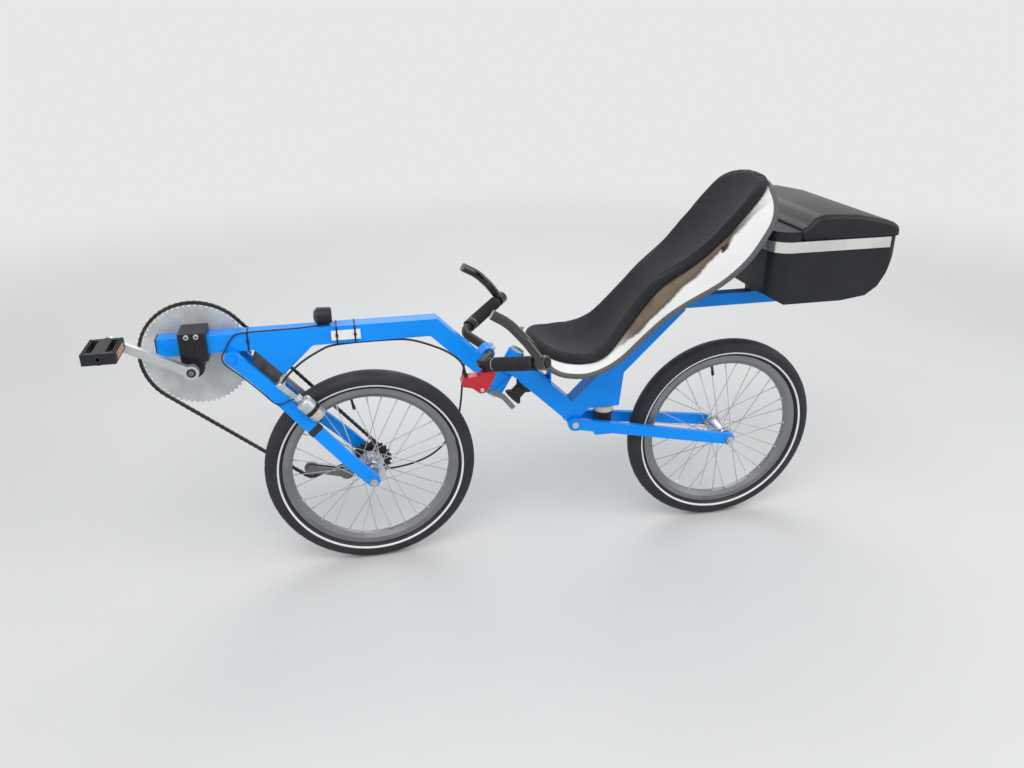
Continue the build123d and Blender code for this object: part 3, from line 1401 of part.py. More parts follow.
# Cables: points chosen by hand; each bend is as wide as its shorter run allows
CABLE_D = 5.0
CABLE_BEND_SHARE = 0.45
BRAKE_CABLE_POINTS = (
    (-264.0, -124.0, -14.0),
    (-266.0, -121.0, 6.0),
    (-276.0, -108.0, 22.0),
    (-300.0, -84.0, 34.0),
    (-332.0, -54.0, 40.0),
    (-366.0, -26.0, 44.0),
    (-400.0, -12.0, 45.0),
    (-545.0, -13.0, 45.0),
    (-575.0, -24.0, 36.0),
    (-610.0, -27.0, 18.0),
    (-638.0, -28.0, -4.0),
    (-655.0, -27.0, -22.0),
    (-661.7, -26.0, -31.8),
)
SHIFT_CABLE_POINTS = (
    (-208.8, 139.2, -2.7),
    (-211.0, 145.0, -20.0),
    (-217.0, 141.0, -46.0),
    (-228.0, 124.0, -78.0),
    (-238.0, 100.0, -115.0),
    (-245.0, 84.0, -165.0),
    (-256.0, 74.0, -215.0),
    (-280.0, 70.0, -262.0),
    (-318.0, 69.0, -300.0),
    (-368.0, 69.5, -322.0),
    (-428.0, 69.0, -331.0),
    (-488.0, 66.0, -326.0),
    (-540.0, 60.3, -316.0),
)
for name, points in (("brake_cable", BRAKE_CABLE_POINTS), ("shift_cable", SHIFT_CABLE_POINTS)):
    runs = [Vector(*b) - Vector(*a) for a, b in zip(points, points[1:])]
    radii = []
    for before, after in zip(runs, runs[1:]):
        half_turn = math.radians(before.get_angle(after) / 2)
        radii.append(CABLE_BEND_SHARE * min(before.length, after.length) / math.tan(half_turn))
    print(name, "bend radii", [round(radius) for radius in radii])
    with BuildPart() as cable:
        bent_tube(points, radii, CABLE_D / 2)
    write(cable.part, name)
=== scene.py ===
# %% [markdown]
# # A recumbent bicycle, dressed in Blender
# The bicycle's construction comes from a CAD model: every tube, wheel and bolt hole is already at its
# real size and place. This lesson adds what CAD leaves out, which is paint, rubber, foam and the small
# parts that catch the eye. We never move a CAD part. We give it a finish, or stand a finer piece in its
# place, and each new piece rides on the CAD body that carries it. Lengths are in metres, and MM turns
# millimetres into metres.

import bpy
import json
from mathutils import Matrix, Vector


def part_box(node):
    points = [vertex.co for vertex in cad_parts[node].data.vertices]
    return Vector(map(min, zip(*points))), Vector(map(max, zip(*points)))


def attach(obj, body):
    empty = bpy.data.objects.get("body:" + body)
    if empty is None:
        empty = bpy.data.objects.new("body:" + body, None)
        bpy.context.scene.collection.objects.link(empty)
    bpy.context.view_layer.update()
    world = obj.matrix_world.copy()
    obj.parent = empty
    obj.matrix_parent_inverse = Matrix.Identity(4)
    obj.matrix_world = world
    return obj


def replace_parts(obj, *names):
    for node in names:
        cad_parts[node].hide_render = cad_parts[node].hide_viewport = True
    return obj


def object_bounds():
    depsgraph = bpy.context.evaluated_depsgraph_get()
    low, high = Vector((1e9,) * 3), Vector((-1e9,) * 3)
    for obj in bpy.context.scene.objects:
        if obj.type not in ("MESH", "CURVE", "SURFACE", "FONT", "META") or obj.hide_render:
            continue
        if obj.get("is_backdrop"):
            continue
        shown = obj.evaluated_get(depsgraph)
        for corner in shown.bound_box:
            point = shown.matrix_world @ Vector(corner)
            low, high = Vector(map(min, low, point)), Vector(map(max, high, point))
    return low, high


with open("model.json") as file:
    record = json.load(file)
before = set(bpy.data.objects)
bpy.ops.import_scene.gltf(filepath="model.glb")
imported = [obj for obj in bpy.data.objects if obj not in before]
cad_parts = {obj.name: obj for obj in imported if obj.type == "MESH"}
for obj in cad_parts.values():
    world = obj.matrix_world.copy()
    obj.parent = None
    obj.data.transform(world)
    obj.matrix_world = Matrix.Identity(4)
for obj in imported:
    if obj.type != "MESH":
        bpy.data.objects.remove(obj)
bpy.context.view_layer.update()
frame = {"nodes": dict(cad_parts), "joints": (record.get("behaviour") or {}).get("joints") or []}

# %% [markdown]
# ## Places taken from the model
# A joint knows where its axis is, and a node knows its own box. Reading the wheel centres and the crank
# axis from there means that a new piece cannot drift away from the part it belongs to.

# %% Axles, cranks and pedals
import json
import math

import bmesh
import bpy
from mathutils import Matrix, Vector
from mathutils.bvhtree import BVHTree

nodes = frame["nodes"]
joint_at = {joint["name"]: Vector(joint["pos_m"]) for joint in frame["joints"]}
front_axle = joint_at["front_wheel_spin"]
rear_axle = joint_at["rear_wheel_spin"]
wheel_axles = {"front": front_axle, "rear": rear_axle}
crank_axis = joint_at["crank_spin"]
MM = 0.001
TYRE_RADIUS = 250 * MM
FLOOR_Z = rear_axle.z - TYRE_RADIUS


def mm(x, y, z):
    """A point or a direction given in millimetres."""
    return Vector((x, y, z)) * MM


def rounded(point):
    return [round(value, 3) for value in point]


print("wheelbase", round(rear_axle.x - front_axle.x, 3), "floor", round(FLOOR_Z, 3))

# %% [markdown]
# ## Camera
# The photograph was taken standing, to the rider's left and a little in front of the middle. Its place
# and direction were solved from known lengths in the picture and from the two equal wheels, so they are
# written here as a point and as the directions that are right and down in the picture. The bicycle leans
# a little in the photograph, and that lean is in these directions too: the camera tilts instead of the
# bicycle.

# %% Camera from its two directions
CAMERA_AT = Vector((-0.527, -1.813, 0.711))
PICTURE_RIGHT = Vector((0.9767, -0.2146, -0.0052))
PICTURE_DOWN = Vector((-0.0905, -0.3896, -0.9165))
LENS_IN_PIXELS = 840.0
PICTURE_WIDTH = 1024
SENSOR_WIDTH = 36.0

camera_data = bpy.data.cameras.new("camera")
camera_data.sensor_width = SENSOR_WIDTH
camera_data.lens = LENS_IN_PIXELS / PICTURE_WIDTH * SENSOR_WIDTH
camera = bpy.data.objects.new("camera", camera_data)
up = -PICTURE_DOWN.normalized()
right = (PICTURE_RIGHT - PICTURE_RIGHT.dot(up) * up).normalized()
turn = Matrix((right, up, right.cross(up))).transposed().to_4x4()
camera.matrix_world = Matrix.Translation(CAMERA_AT) @ turn
bpy.context.scene.collection.objects.link(camera)
bpy.context.scene.camera = camera
print("lens", round(camera_data.lens, 2), "mm")

# %% [markdown]
# ## A small vocabulary for node trees
# The world, the floor and every finish are node trees. A few short functions place nodes, do sums with
# them and mix colours, so that the later cells read like formulas.

# %% Nodes, sums, noise and mixing
def set_or_link(tree, socket, value):
    if isinstance(value, bpy.types.NodeSocket):
        tree.links.new(value, socket)
    else:
        socket.default_value = value


def add_node(tree, kind, settings=None, **values):
    """A node with properties from settings and sockets from values, named or numbered as i0, i1."""
    node = tree.nodes.new(kind)
    for key, value in (settings or {}).items():
        setattr(node, key, value)
    for key, value in values.items():
        by_number = key[0] == "i" and key[1:].isdigit()
        set_or_link(tree, node.inputs[int(key[1:]) if by_number else key.replace("_", " ")], value)
    return node


def maths(tree, operation, a, b=0.0, c=0.0):
    return add_node(tree, "ShaderNodeMath", {"operation": operation}, i0=a, i1=b, i2=c).outputs[0]


def inverse(tree, value):
    return maths(tree, "SUBTRACT", 1.0, value)


def vector_length(tree, vector):
    return add_node(tree, "ShaderNodeVectorMath", {"operation": "LENGTH"}, i0=vector).outputs["Value"]


def object_place(tree):
    return tree.nodes.new("ShaderNodeTexCoord").outputs["Object"]


def noise(tree, scale, detail, roughness):
    place = object_place(tree)
    return add_node(
        tree, "ShaderNodeTexNoise", Vector=place, Scale=scale, Detail=detail, Roughness=roughness
    ).outputs[0]


def ramp(tree, value, low, high):
    """0 below low, 1 above high, smooth between."""
    settings = {"interpolation_type": "SMOOTHSTEP"}
    made = add_node(tree, "ShaderNodeMapRange", settings, Value=value, From_Min=low, From_Max=high)
    return made.outputs[0]


def mix_colour(tree, share, a, b):
    made = add_node(tree, "ShaderNodeMix", {"data_type": "RGBA"})
    for number, value in ((0, share), (6, a), (7, b)):
        set_or_link(tree, made.inputs[number], value)
    return made.outputs[2]


def in_view(tree):
    """1 for the camera's rays and for those that metal and glass pass on to it, 0 for the rest."""
    rays = tree.nodes.new("ShaderNodeLightPath").outputs
    mirrored = maths(tree, "MAXIMUM", rays["Is Glossy Ray"], rays["Is Transmission Ray"])
    return maths(tree, "MAXIMUM", rays["Is Camera Ray"], mirrored)


print("node vocabulary ready")

# %% [markdown]
# ## Floor and light
# A plain studio. The floor is pale and the light is soft, from a large lamp overhead on the camera's side
# and a weaker one from the rear, which keeps dark rubber readable. The background that the camera and the
# metal see is a plain pale one, which throws no extra light on the bicycle.

# %% Floor
def new_object(name, data):
    made = bpy.data.objects.new(name, data)
    bpy.context.scene.collection.objects.link(made)
    return made


FLOOR_REACH = 30.0
floor_mesh = bpy.data.meshes.new("floor")
CORNERS = ((-1, -1), (1, -1), (1, 1), (-1, 1))
floor_mesh.from_pydata([(x * FLOOR_REACH, y * FLOOR_REACH, FLOOR_Z) for x, y in CORNERS], [], [(0, 1, 2, 3)])
floor = new_object("floor", floor_mesh)
floor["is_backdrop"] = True
print("floor at", round(FLOOR_Z, 3))

# %% Lamps and world
# name, place, size, power in watts
LAMPS = (
    ("key", (-1.2, -2.6, 3.2), 3.0, 95.0),
    ("fill", (2.6, -1.6, 1.6), 2.2, 26.0),
    ("rim", (0.6, 2.8, 2.2), 2.5, 36.0),
)
LAMPS_AIM_AT = Vector((-0.1, 0, -0.1))
for lamp_name, lamp_at, lamp_size, lamp_power in LAMPS:
    lamp_data = bpy.data.lights.new(lamp_name, "AREA")
    lamp_data.size = lamp_size
    lamp_data.energy = lamp_power
    lamp = new_object(lamp_name, lamp_data)
    lamp.location = lamp_at
    lamp.rotation_euler = (LAMPS_AIM_AT - Vector(lamp_at)).to_track_quat("-Z", "Y").to_euler()

SKY_COLOUR = (0.90, 0.93, 0.97, 1.0)
SKY_STRENGTH = 0.66
BACKGROUND = (0.80, 0.80, 0.79, 1.0)


def make_world():
    world = bpy.data.worlds.new("studio")
    world.use_nodes = True
    bpy.context.scene.world = world
    tree = world.node_tree
    tree.nodes.clear()
    lit = add_node(tree, "ShaderNodeBackground", Color=SKY_COLOUR, Strength=SKY_STRENGTH).outputs[0]
    seen = add_node(tree, "ShaderNodeBackground", Color=BACKGROUND).outputs[0]
    mix = add_node(tree, "ShaderNodeMixShader", Fac=in_view(tree), i1=lit, i2=seen)
    add_node(tree, "ShaderNodeOutputWorld", Surface=mix.outputs[0])


make_world()
bpy.context.scene.view_settings.view_transform = "Standard"
print(len(LAMPS), "lamps")

# %% [markdown]
# ## Shader groups
# Paint, rubber and plastic look different, yet the same few effects make all of them: a patchy colour, a
# fine grain, dust that settles on what faces up, and fine scratches. Each effect is built once as a
# node group with named sockets. A material then only sets its own numbers. All textures use
# object coordinates, so a pattern stays on its piece when a wheel turns.

# %% Groups for patches, dust and specks
FLOAT, COLOUR = "NodeSocketFloat", "NodeSocketColor"
WHITE = (1.0, 1.0, 1.0, 1.0)


def new_group(name, inputs, outputs):
    """A shader node group. inputs: label, socket type, value. outputs: label, socket type."""
    tree = bpy.data.node_groups.new(name, "ShaderNodeTree")
    for label, kind, value in inputs:
        tree.interface.new_socket(label, in_out="INPUT", socket_type=kind).default_value = value
    for label, kind in outputs:
        tree.interface.new_socket(label, in_out="OUTPUT", socket_type=kind)
    return tree, tree.nodes.new("NodeGroupInput").outputs, tree.nodes.new("NodeGroupOutput").inputs


def make_patchy():
    tree, given, out = new_group(
        "patchy",
        (("Colour", COLOUR, WHITE), ("Patch", COLOUR, WHITE), ("Scale", FLOAT, 12.0), ("Amount", FLOAT, 0.5)),
        (("Colour", COLOUR),),
    )
    mask = ramp(tree, noise(tree, given["Scale"], 4.0, 0.6), 0.38, 0.66)
    share = maths(tree, "MULTIPLY", mask, given["Amount"])
    tree.links.new(mix_colour(tree, share, given["Colour"], given["Patch"]), out["Colour"])
    return tree


def make_dust():
    tree, given, out = new_group(
        "dust",
        (("Colour", COLOUR, WHITE), ("Dust", COLOUR, (0.32, 0.29, 0.25, 1.0)), ("Amount", FLOAT, 0.3)),
        (("Colour", COLOUR),),
    )
    normal = tree.nodes.new("ShaderNodeNewGeometry").outputs["Normal"]
    facing = add_node(tree, "ShaderNodeSeparateXYZ", Vector=normal)
    top = ramp(tree, facing.outputs["Z"], 0.1, 1.0)
    cloud = ramp(tree, noise(tree, 9.0, 5.0, 0.65), 0.35, 0.75)
    mask = maths(tree, "MULTIPLY", maths(tree, "MULTIPLY", top, cloud), given["Amount"])
    tree.links.new(mix_colour(tree, mask, given["Colour"], given["Dust"]), out["Colour"])
    return tree


def make_specks():
    tree, given, out = new_group(
        "specks",
        (("Colour", COLOUR, WHITE), ("Speck", COLOUR, WHITE), ("Scale", FLOAT, 400.0), ("Share", FLOAT, 0.1)),
        (("Colour", COLOUR),),
    )
    start = maths(tree, "SUBTRACT", 0.78, given["Share"])
    mask = ramp(tree, noise(tree, given["Scale"], 1.0, 0.5), start, maths(tree, "ADD", start, 0.07))
    tree.links.new(mix_colour(tree, mask, given["Colour"], given["Speck"]), out["Colour"])
    return tree


patchy, dust, specks = make_patchy(), make_dust(), make_specks()
print("groups for colour:", patchy.name, dust.name, specks.name)


# %% Groups for grain and scratches
def make_grain():
    tree, given, out = new_group("grain", (("Scale", FLOAT, 300.0),), (("Height", FLOAT),))
    fine = noise(tree, given["Scale"], 2.0, 0.6)
    broad = noise(tree, maths(tree, "MULTIPLY", given["Scale"], 0.23), 2.0, 0.5)
    blended = add_node(tree, "ShaderNodeMix", {"data_type": "FLOAT"}, i0=0.5, i2=fine, i3=broad)
    tree.links.new(blended.outputs[0], out["Height"])
    return tree


def make_scratches():
    tree, given, out = new_group(
        "scratches",
        (("Roughness", FLOAT, 0.4), ("Change", FLOAT, 0.15), ("Scale", FLOAT, 30.0)),
        (("Roughness", FLOAT),),
    )
    stretch = add_node(
        tree, "ShaderNodeMapping", Vector=object_place(tree), Scale=(1.0, 7.0, 3.0), Rotation=(0.4, 0.7, 0.2)
    ).outputs[0]
    streak = add_node(
        tree, "ShaderNodeTexNoise", Vector=stretch, Scale=given["Scale"], Detail=5.0, Roughness=0.7
    ).outputs[0]
    spread = maths(tree, "MULTIPLY", maths(tree, "SUBTRACT", streak, 0.5), given["Change"])
    spread = maths(tree, "MULTIPLY", spread, 4.0)
    tree.links.new(maths(tree, "ADD", given["Roughness"], spread), out["Roughness"])
    return tree


grain, scratches = make_grain(), make_scratches()
print("shader groups:", ", ".join(group.name for group in bpy.data.node_groups))

# %% [markdown]
# ## Finishes
# One function builds the shader that most surfaces share, and a table gives each finish its own numbers.
# The colours are the ones the materials have in daylight: black parts of a bicycle are never truly
# black, and a painted tube is a strong colour with a soft, slightly uneven gloss.

# %% A material from the groups
def place_group(tree, group, **values):
    node = tree.nodes.new("ShaderNodeGroup")
    node.node_tree = group
    for key, value in values.items():
        set_or_link(tree, node.inputs[key], value)
    return node.outputs[0]


def finish(name, colour, patch, patch_amount, roughness, metallic=0.0, dirt=0.2, grain_scale=600.0,
           grain_depth=0.05, patch_scale=12.0, scratch=0.05, coat=0.0, specular=0.5, speck=None, sheen=0.0):
    """A finish with a patchy colour, dust, fine grain and scratches. grain_depth is in millimetres."""
    made = bpy.data.materials.new(name)
    made.use_nodes = True
    tree = made.node_tree
    shader = tree.nodes["Principled BSDF"]
    base = place_group(
        tree, patchy, Colour=(*colour, 1.0), Patch=(*patch, 1.0), Scale=patch_scale, Amount=patch_amount
    )
    if speck:
        speck_colour, speck_scale, share = speck
        base = place_group(
            tree, specks, Colour=base, Speck=(*speck_colour, 1.0), Scale=speck_scale, Share=share
        )
    height = place_group(tree, grain, Scale=grain_scale)
    bump = add_node(tree, "ShaderNodeBump", Strength=0.6, Distance=grain_depth * MM, Height=height)
    for label, value in (
        ("Base Color", place_group(tree, dust, Colour=base, Amount=dirt)),
        ("Roughness", place_group(tree, scratches, Roughness=roughness, Change=scratch)),
        ("Normal", bump.outputs[0]),
        ("Metallic", metallic),
        ("Coat Weight", coat),
        ("Coat Roughness", 0.12),
        ("Specular IOR Level", specular),
        ("Sheen Weight", sheen),
    ):
        set_or_link(tree, shader.inputs[label], value)
    return made


print("finish is ready to use")

# %% Paint, metals and plastics
blue_paint = finish("blue_paint", (0.0, 0.28, 0.93), (0.0, 0.22, 0.80), 0.35, 0.30, dirt=0.02,
                    grain_depth=0.12, grain_scale=180.0, patch_scale=7.0, coat=0.05, specular=0.2)
tyre_rubber = finish("tyre_rubber", (0.020, 0.021, 0.025), (0.038, 0.038, 0.042), 0.5, 0.62, dirt=0.10,
                     grain_scale=900.0, grain_depth=0.10, specular=0.3)
reflective_line = finish("reflective_line", (0.80, 0.80, 0.79), (0.66, 0.66, 0.66), 0.4, 0.38, dirt=0.05)
rim_alloy = finish("rim_alloy", (0.24, 0.245, 0.255), (0.17, 0.175, 0.18), 0.5, 0.38, metallic=0.8,
                   dirt=0.05)
hub_alloy = finish("hub_alloy", (0.62, 0.63, 0.65), (0.44, 0.45, 0.47), 0.4, 0.26, metallic=0.9, dirt=0.05)
cast_alloy = finish("cast_alloy", (0.60, 0.61, 0.62), (0.44, 0.45, 0.46), 0.45, 0.36, metallic=0.75,
                    dirt=0.1)
dull_alloy = finish("dull_alloy", (0.20, 0.205, 0.21), (0.13, 0.13, 0.135), 0.5, 0.42, metallic=0.7,
                    dirt=0.1)
disc_alloy = finish("disc_alloy", (0.62, 0.635, 0.64), (0.45, 0.465, 0.46), 0.8, 0.52, metallic=0.3,
                    dirt=0.0, patch_scale=16.0, scratch=0.10, grain_scale=420.0)
zinc = finish("zinc", (0.60, 0.60, 0.59), (0.45, 0.44, 0.42), 0.5, 0.36, metallic=0.8, dirt=0.1)
chain_steel = finish("chain_steel", (0.030, 0.029, 0.028), (0.060, 0.052, 0.044), 0.6, 0.42, metallic=0.6,
                     dirt=0.05)
black_metal = finish("black_metal", (0.012, 0.012, 0.014), (0.024, 0.024, 0.026), 0.5, 0.36, metallic=0.2,
                     dirt=0.04, coat=0.05, specular=0.3)
gloss_black = finish("gloss_black", (0.010, 0.010, 0.011), (0.018, 0.018, 0.020), 0.4, 0.16, dirt=0.03,
                     coat=0.7, grain_depth=0.02)
rubber = finish("rubber", (0.016, 0.016, 0.018), (0.032, 0.032, 0.033), 0.5, 0.66, dirt=0.08,
                grain_depth=0.15, specular=0.35)
dusty_rubber = finish("dusty_rubber", (0.020, 0.020, 0.021), (0.12, 0.12, 0.12), 0.45, 0.75, dirt=0.3,
                      grain_scale=260.0, grain_depth=0.2, patch_scale=26.0, specular=0.3)
plastic = finish("plastic", (0.010, 0.012, 0.015), (0.018, 0.020, 0.024), 0.5, 0.42, dirt=0.05,
                 grain_scale=700.0, grain_depth=0.12, patch_scale=5.0, specular=0.28)
cream_pad = finish("cream_pad", (0.66, 0.60, 0.48), (0.48, 0.42, 0.32), 0.6, 0.6, dirt=0.15)
red_metal = finish("red_metal", (0.56, 0.012, 0.022), (0.42, 0.008, 0.016), 0.4, 0.30, metallic=0.35,
                   coat=0.3)
bright_band = finish("bright_band", (0.78, 0.79, 0.77), (0.55, 0.57, 0.53), 0.5, 0.20, metallic=0.9,
                     dirt=0.0, patch_scale=9.0)
foam = finish("foam", (0.015, 0.016, 0.019), (0.026, 0.027, 0.031), 0.6, 0.88, dirt=0.0, grain_scale=850.0,
              grain_depth=0.35, patch_scale=8.0, specular=0.2, sheen=0.08,
              speck=((0.13, 0.13, 0.14), 640.0, 0.09))
white_plastic = finish("white_plastic", (0.80, 0.81, 0.81), (0.70, 0.71, 0.71), 0.3, 0.4, dirt=0.05)
amber = finish("amber", (0.62, 0.24, 0.02), (0.48, 0.16, 0.01), 0.4, 0.25, dirt=0.1, coat=0.4)
print(len(bpy.data.materials), "finishes so far")


# %% [markdown]
# ## Seat laminate
# The seat shell is a laminate: white gel coat on the rider's side, a dark grey back and a bare grey edge.
# Dirt and water collect where the foam meets the gel coat and leave a brown stain beside the pad. The same
# brown band also paints the shade that the pad's edge casts there, and a darker line along the crease is
# painted shade. The band follows the pad's edge, so the shader works from the distance across the seat, and
# fades along the back.

# %% White side with its stain and painted shade beside the pad, painted shade in the slot, grey back
SEAT_TILT = math.radians(45)
# across the seat: where the crease's painted shade starts, the crease line, and where the band of stain and
# painted shade ends
CREASE_SHADE_NEAR, STAIN_SHADE_CREASE, STAIN_SHADE_FAR = 0.101, 0.109, 0.117
# along the back: where the band of stain and painted shade starts, is full, starts to fade and ends
STAIN_SHADE_FROM, STAIN_SHADE_FULL, STAIN_SHADE_FADES, STAIN_SHADE_TO = 0.04, 0.13, 0.42, 0.58
SEAT_WAIST, STAIN_SHADE_SPREAD = 0.2, 0.03
# tan and dark brown of the band beside the pad: part stain, part painted shade of the pad's edge
STAIN_SHADE_TAN = (0.145, 0.092, 0.052, 1.0)
STAIN_SHADE_BROWN = (0.036, 0.020, 0.011, 1.0)
SLOT_AT, SLOT_ACROSS, SLOT_LENGTH = 0.400, 0.122, 0.011
# the slot through the shell is not cut: its inside is painted near black as painted shade
SLOT_PAINTED_SHADE = (0.012, 0.010, 0.009, 1.0)


def make_gel_coat():
    made = finish("gel_coat", (0.82, 0.82, 0.80), (0.72, 0.70, 0.65), 0.3, 0.45, dirt=0.02,
                  grain_depth=0.04, patch_scale=6.0, coat=0.08, specular=0.35)
    tree = made.node_tree
    shader = tree.nodes["Principled BSDF"]
    clean = shader.inputs["Base Color"].links[0].from_socket
    place = add_node(tree, "ShaderNodeSeparateXYZ", Vector=object_place(tree)).outputs
    along = maths(
        tree, "ADD",
        maths(tree, "MULTIPLY", place["X"], math.cos(SEAT_TILT)),
        maths(tree, "MULTIPLY", place["Z"], math.sin(SEAT_TILT)),
    )
    cloud = noise(tree, 22.0, 5.0, 0.65)
    ragged = maths(tree, "MULTIPLY", maths(tree, "SUBTRACT", cloud, 0.5), 0.02)
    across = maths(tree, "ABSOLUTE", place["Y"])
    past_waist = maths(tree, "MAXIMUM", maths(tree, "SUBTRACT", along, SEAT_WAIST), 0.0)
    spread = maths(tree, "MULTIPLY", past_waist, STAIN_SHADE_SPREAD)
    rough_across = maths(tree, "SUBTRACT", maths(tree, "ADD", across, ragged), spread)
    # the band beside the pad is part stain and part painted shade; the crease adds a darker line of painted
    # shade
    stain_shade_beside_pad = inverse(tree, ramp(tree, rough_across, STAIN_SHADE_CREASE, STAIN_SHADE_FAR))
    fades = inverse(tree, ramp(tree, along, STAIN_SHADE_FADES, STAIN_SHADE_TO))
    window = maths(tree, "MULTIPLY", ramp(tree, along, STAIN_SHADE_FROM, STAIN_SHADE_FULL), fades)
    mask = maths(tree, "MULTIPLY", maths(tree, "MULTIPLY", stain_shade_beside_pad, window), 0.95)
    painted_crease_shade = maths(tree, "MULTIPLY", ramp(tree, rough_across, CREASE_SHADE_NEAR, STAIN_SHADE_CREASE), 0.75)
    crease_shade_and_mottle = maths(tree, "MAXIMUM", painted_crease_shade, maths(tree, "MULTIPLY", ramp(tree, cloud, 0.35, 0.7), 0.65))
    stain_and_shade = mix_colour(tree, mask, clean, mix_colour(tree, crease_shade_and_mottle, STAIN_SHADE_TAN, STAIN_SHADE_BROWN))
    torn = maths(tree, "MULTIPLY", maths(tree, "SUBTRACT", noise(tree, 140.0, 2.0, 0.6), 0.5), 0.012)
    off_along = maths(tree, "MULTIPLY", maths(tree, "SUBTRACT", along, SLOT_AT), 0.5)
    off_across = maths(tree, "ADD", maths(tree, "SUBTRACT", across, SLOT_ACROSS), torn)
    away = add_node(tree, "ShaderNodeCombineXYZ", X=off_along, Y=off_across).outputs[0]
    reach = vector_length(tree, away)
    # painted shade of the slot, with a torn edge
    slot_shade = inverse(tree, ramp(tree, reach, 0.4 * SLOT_LENGTH, 0.7 * SLOT_LENGTH))
    tree.links.new(mix_colour(tree, slot_shade, stain_and_shade, SLOT_PAINTED_SHADE), shader.inputs["Base Color"])
    return made


gel_coat = make_gel_coat()
shell_back = finish("shell_back", (0.085, 0.088, 0.097), (0.11, 0.11, 0.115), 0.5, 0.5, dirt=0.05,
                    grain_scale=380.0, grain_depth=0.25)
# the band of stain and painted shade runs between these distances along the back
print("stain between", STAIN_SHADE_FROM, "and", STAIN_SHADE_TO, "m along the back")

# %% [markdown]
# ## Floor finish
# A floor that is one flat grey looks like a missing floor. A little grain and a slow change in tone give
# the bicycle's contact shadow something to lie on. Far away it fades into the background.

# %% Pale floor that fades into the backdrop
FADE_FROM = 1.9
FADE_TO = 5.0


def make_floor_finish():
    made = finish("pale_floor", (0.70, 0.70, 0.69), (0.66, 0.66, 0.65), 0.5, 0.8, dirt=0.0, patch_scale=0.8,
                  grain_scale=120.0, grain_depth=0.2, specular=0.2)
    tree = made.node_tree
    shader = tree.nodes["Principled BSDF"]
    out = tree.nodes["Material Output"]
    share = maths(tree, "MULTIPLY", ramp(tree, vector_length(tree, object_place(tree)), FADE_FROM, FADE_TO),
                  in_view(tree))
    glow = add_node(tree, "ShaderNodeEmission", Color=BACKGROUND).outputs[0]
    fade = add_node(tree, "ShaderNodeMixShader", Fac=share, i1=shader.outputs[0], i2=glow)
    tree.links.new(fade.outputs[0], out.inputs["Surface"])
    return made


floor.data.materials.append(make_floor_finish())
print("floor fades from", FADE_FROM, "to", FADE_TO, "m away")

# %% [markdown]
# ## Dress the CAD nodes
# Most CAD nodes keep their shape and only need a finish. Rolled and machined edges are never razor
# sharp, so each rigid node also gets a narrow bevel, which is the modifier that catches a highlight
# along every edge.

# %% Finish and bevel for every node
# finish, bevel in millimetres, and the nodes that get them
DRESS = (
    (blue_paint, 2.2, "front_frame rear_frame front_swing_arm rear_swing_arm"),
    (blue_paint, 1.2, "seat_front_bracket seat_rear_bracket handlebar_clamp front_swing_pivot"),
    (tyre_rubber, 0.0, "front_tyre rear_tyre"),
    (rim_alloy, 0.6, "front_rim rear_rim"),
    (hub_alloy, 0.0, "front_hub rear_hub"),
    (zinc, 0.5, "front_axle rear_axle clamp_bolts rear_swing_pivot steering_pin crank_spindle"),
    (cast_alloy, 0.8, "brake_caliper left_crank right_crank"),
    (dull_alloy, 0.8, "lever_blade"),
    (cast_alloy, 1.0, "dynamo"),
    (disc_alloy, 0.3, "chainring"),
    (chain_steel, 0.2, "chain cassette carrier_plate"),
    (dull_alloy, 0.4, "derailleur"),
    (black_metal, 1.0, "bottom_bracket_clamp"),
    (black_metal, 0.0, "handlebar"),
    (gloss_black, 0.0, "left_bar_end right_bar_end"),
    (rubber, 0.8, "rear_elastomer steering_buffer left_grip right_grip"),
    (dusty_rubber, 1.2, "front_elastomer"),
    (rubber, 0.0, "brake_cable shift_cable"),
    (cream_pad, 0.8, "elastomer_pad"),
    (shell_back, 0.0, "seat_shell"),
    (foam, 0.0, "seat_pad"),
    (plastic, 1.5, "topcase_base topcase_lid"),
    (plastic, 1.0, "boom_plug headlamp left_pedal right_pedal shifters"),
    (bright_band, 0.4, "topcase_band"),
    (red_metal, 0.6, "brake_lever"),
    (white_plastic, 0.5, "boom_strip"),
)
SHARP_ANGLE = math.radians(35)


def bevel(piece, width, segments=2):
    """Rounds the sharp edges of a piece by width, in millimetres."""
    made = piece.modifiers.new("edge", "BEVEL")
    made.width = width * MM
    made.segments = segments
    made.limit_method = "ANGLE"
    made.angle_limit = SHARP_ANGLE
    made.harden_normals = False


def dress(piece, material):
    piece.data.materials.clear()
    piece.data.materials.append(material)


dressed = set()
for material, bevel_width, names in DRESS:
    for node_name in names.split():
        dress(nodes[node_name], material)
        if bevel_width:
            bevel(nodes[node_name], bevel_width)
        dressed.add(node_name)
print("dressed", len(dressed), "of", len(nodes), "left over:", sorted(set(nodes) - dressed))

# %% [markdown]
# ## Tools for making pieces
# Nearly everything on a bicycle is turned, cut from a block or bent. Each builder gives a list of vertices
# and a list of faces, so that several shapes can be joined into one piece before the mesh is made.

# %% Mesh pieces
def grid_faces(rows, count, round_rows=False, round_points=False):
    """Faces of a grid whose points are stored row after row. It can close on itself in both directions."""
    faces = []
    for i in range(rows if round_rows else rows - 1):
        j = (i + 1) % rows
        for k in range(count if round_points else count - 1):
            m = (k + 1) % count
            faces.append((i * count + k, j * count + k, j * count + m, i * count + m))
    return faces


def new_piece(name, vertices, faces, materials, body, smooth=True):
    mesh = bpy.data.meshes.new(name)
    mesh.from_pydata([tuple(v) for v in vertices], [], faces)
    for material in materials:
        mesh.materials.append(material)
    mesh.update()
    if smooth:
        mesh.shade_smooth()
    piece = new_object(name, mesh)
    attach(piece, body)
    return piece


print("a grid of 3 by 3 points has", len(grid_faces(3, 3)), "faces")

# %% Turned pieces, blocks and joined pieces
KNURL_DEPTH = 0.05
BOX_FACES = ((0, 1, 3, 2), (4, 6, 7, 5), (0, 4, 5, 1), (2, 3, 7, 6), (0, 2, 6, 4), (1, 5, 7, 3))


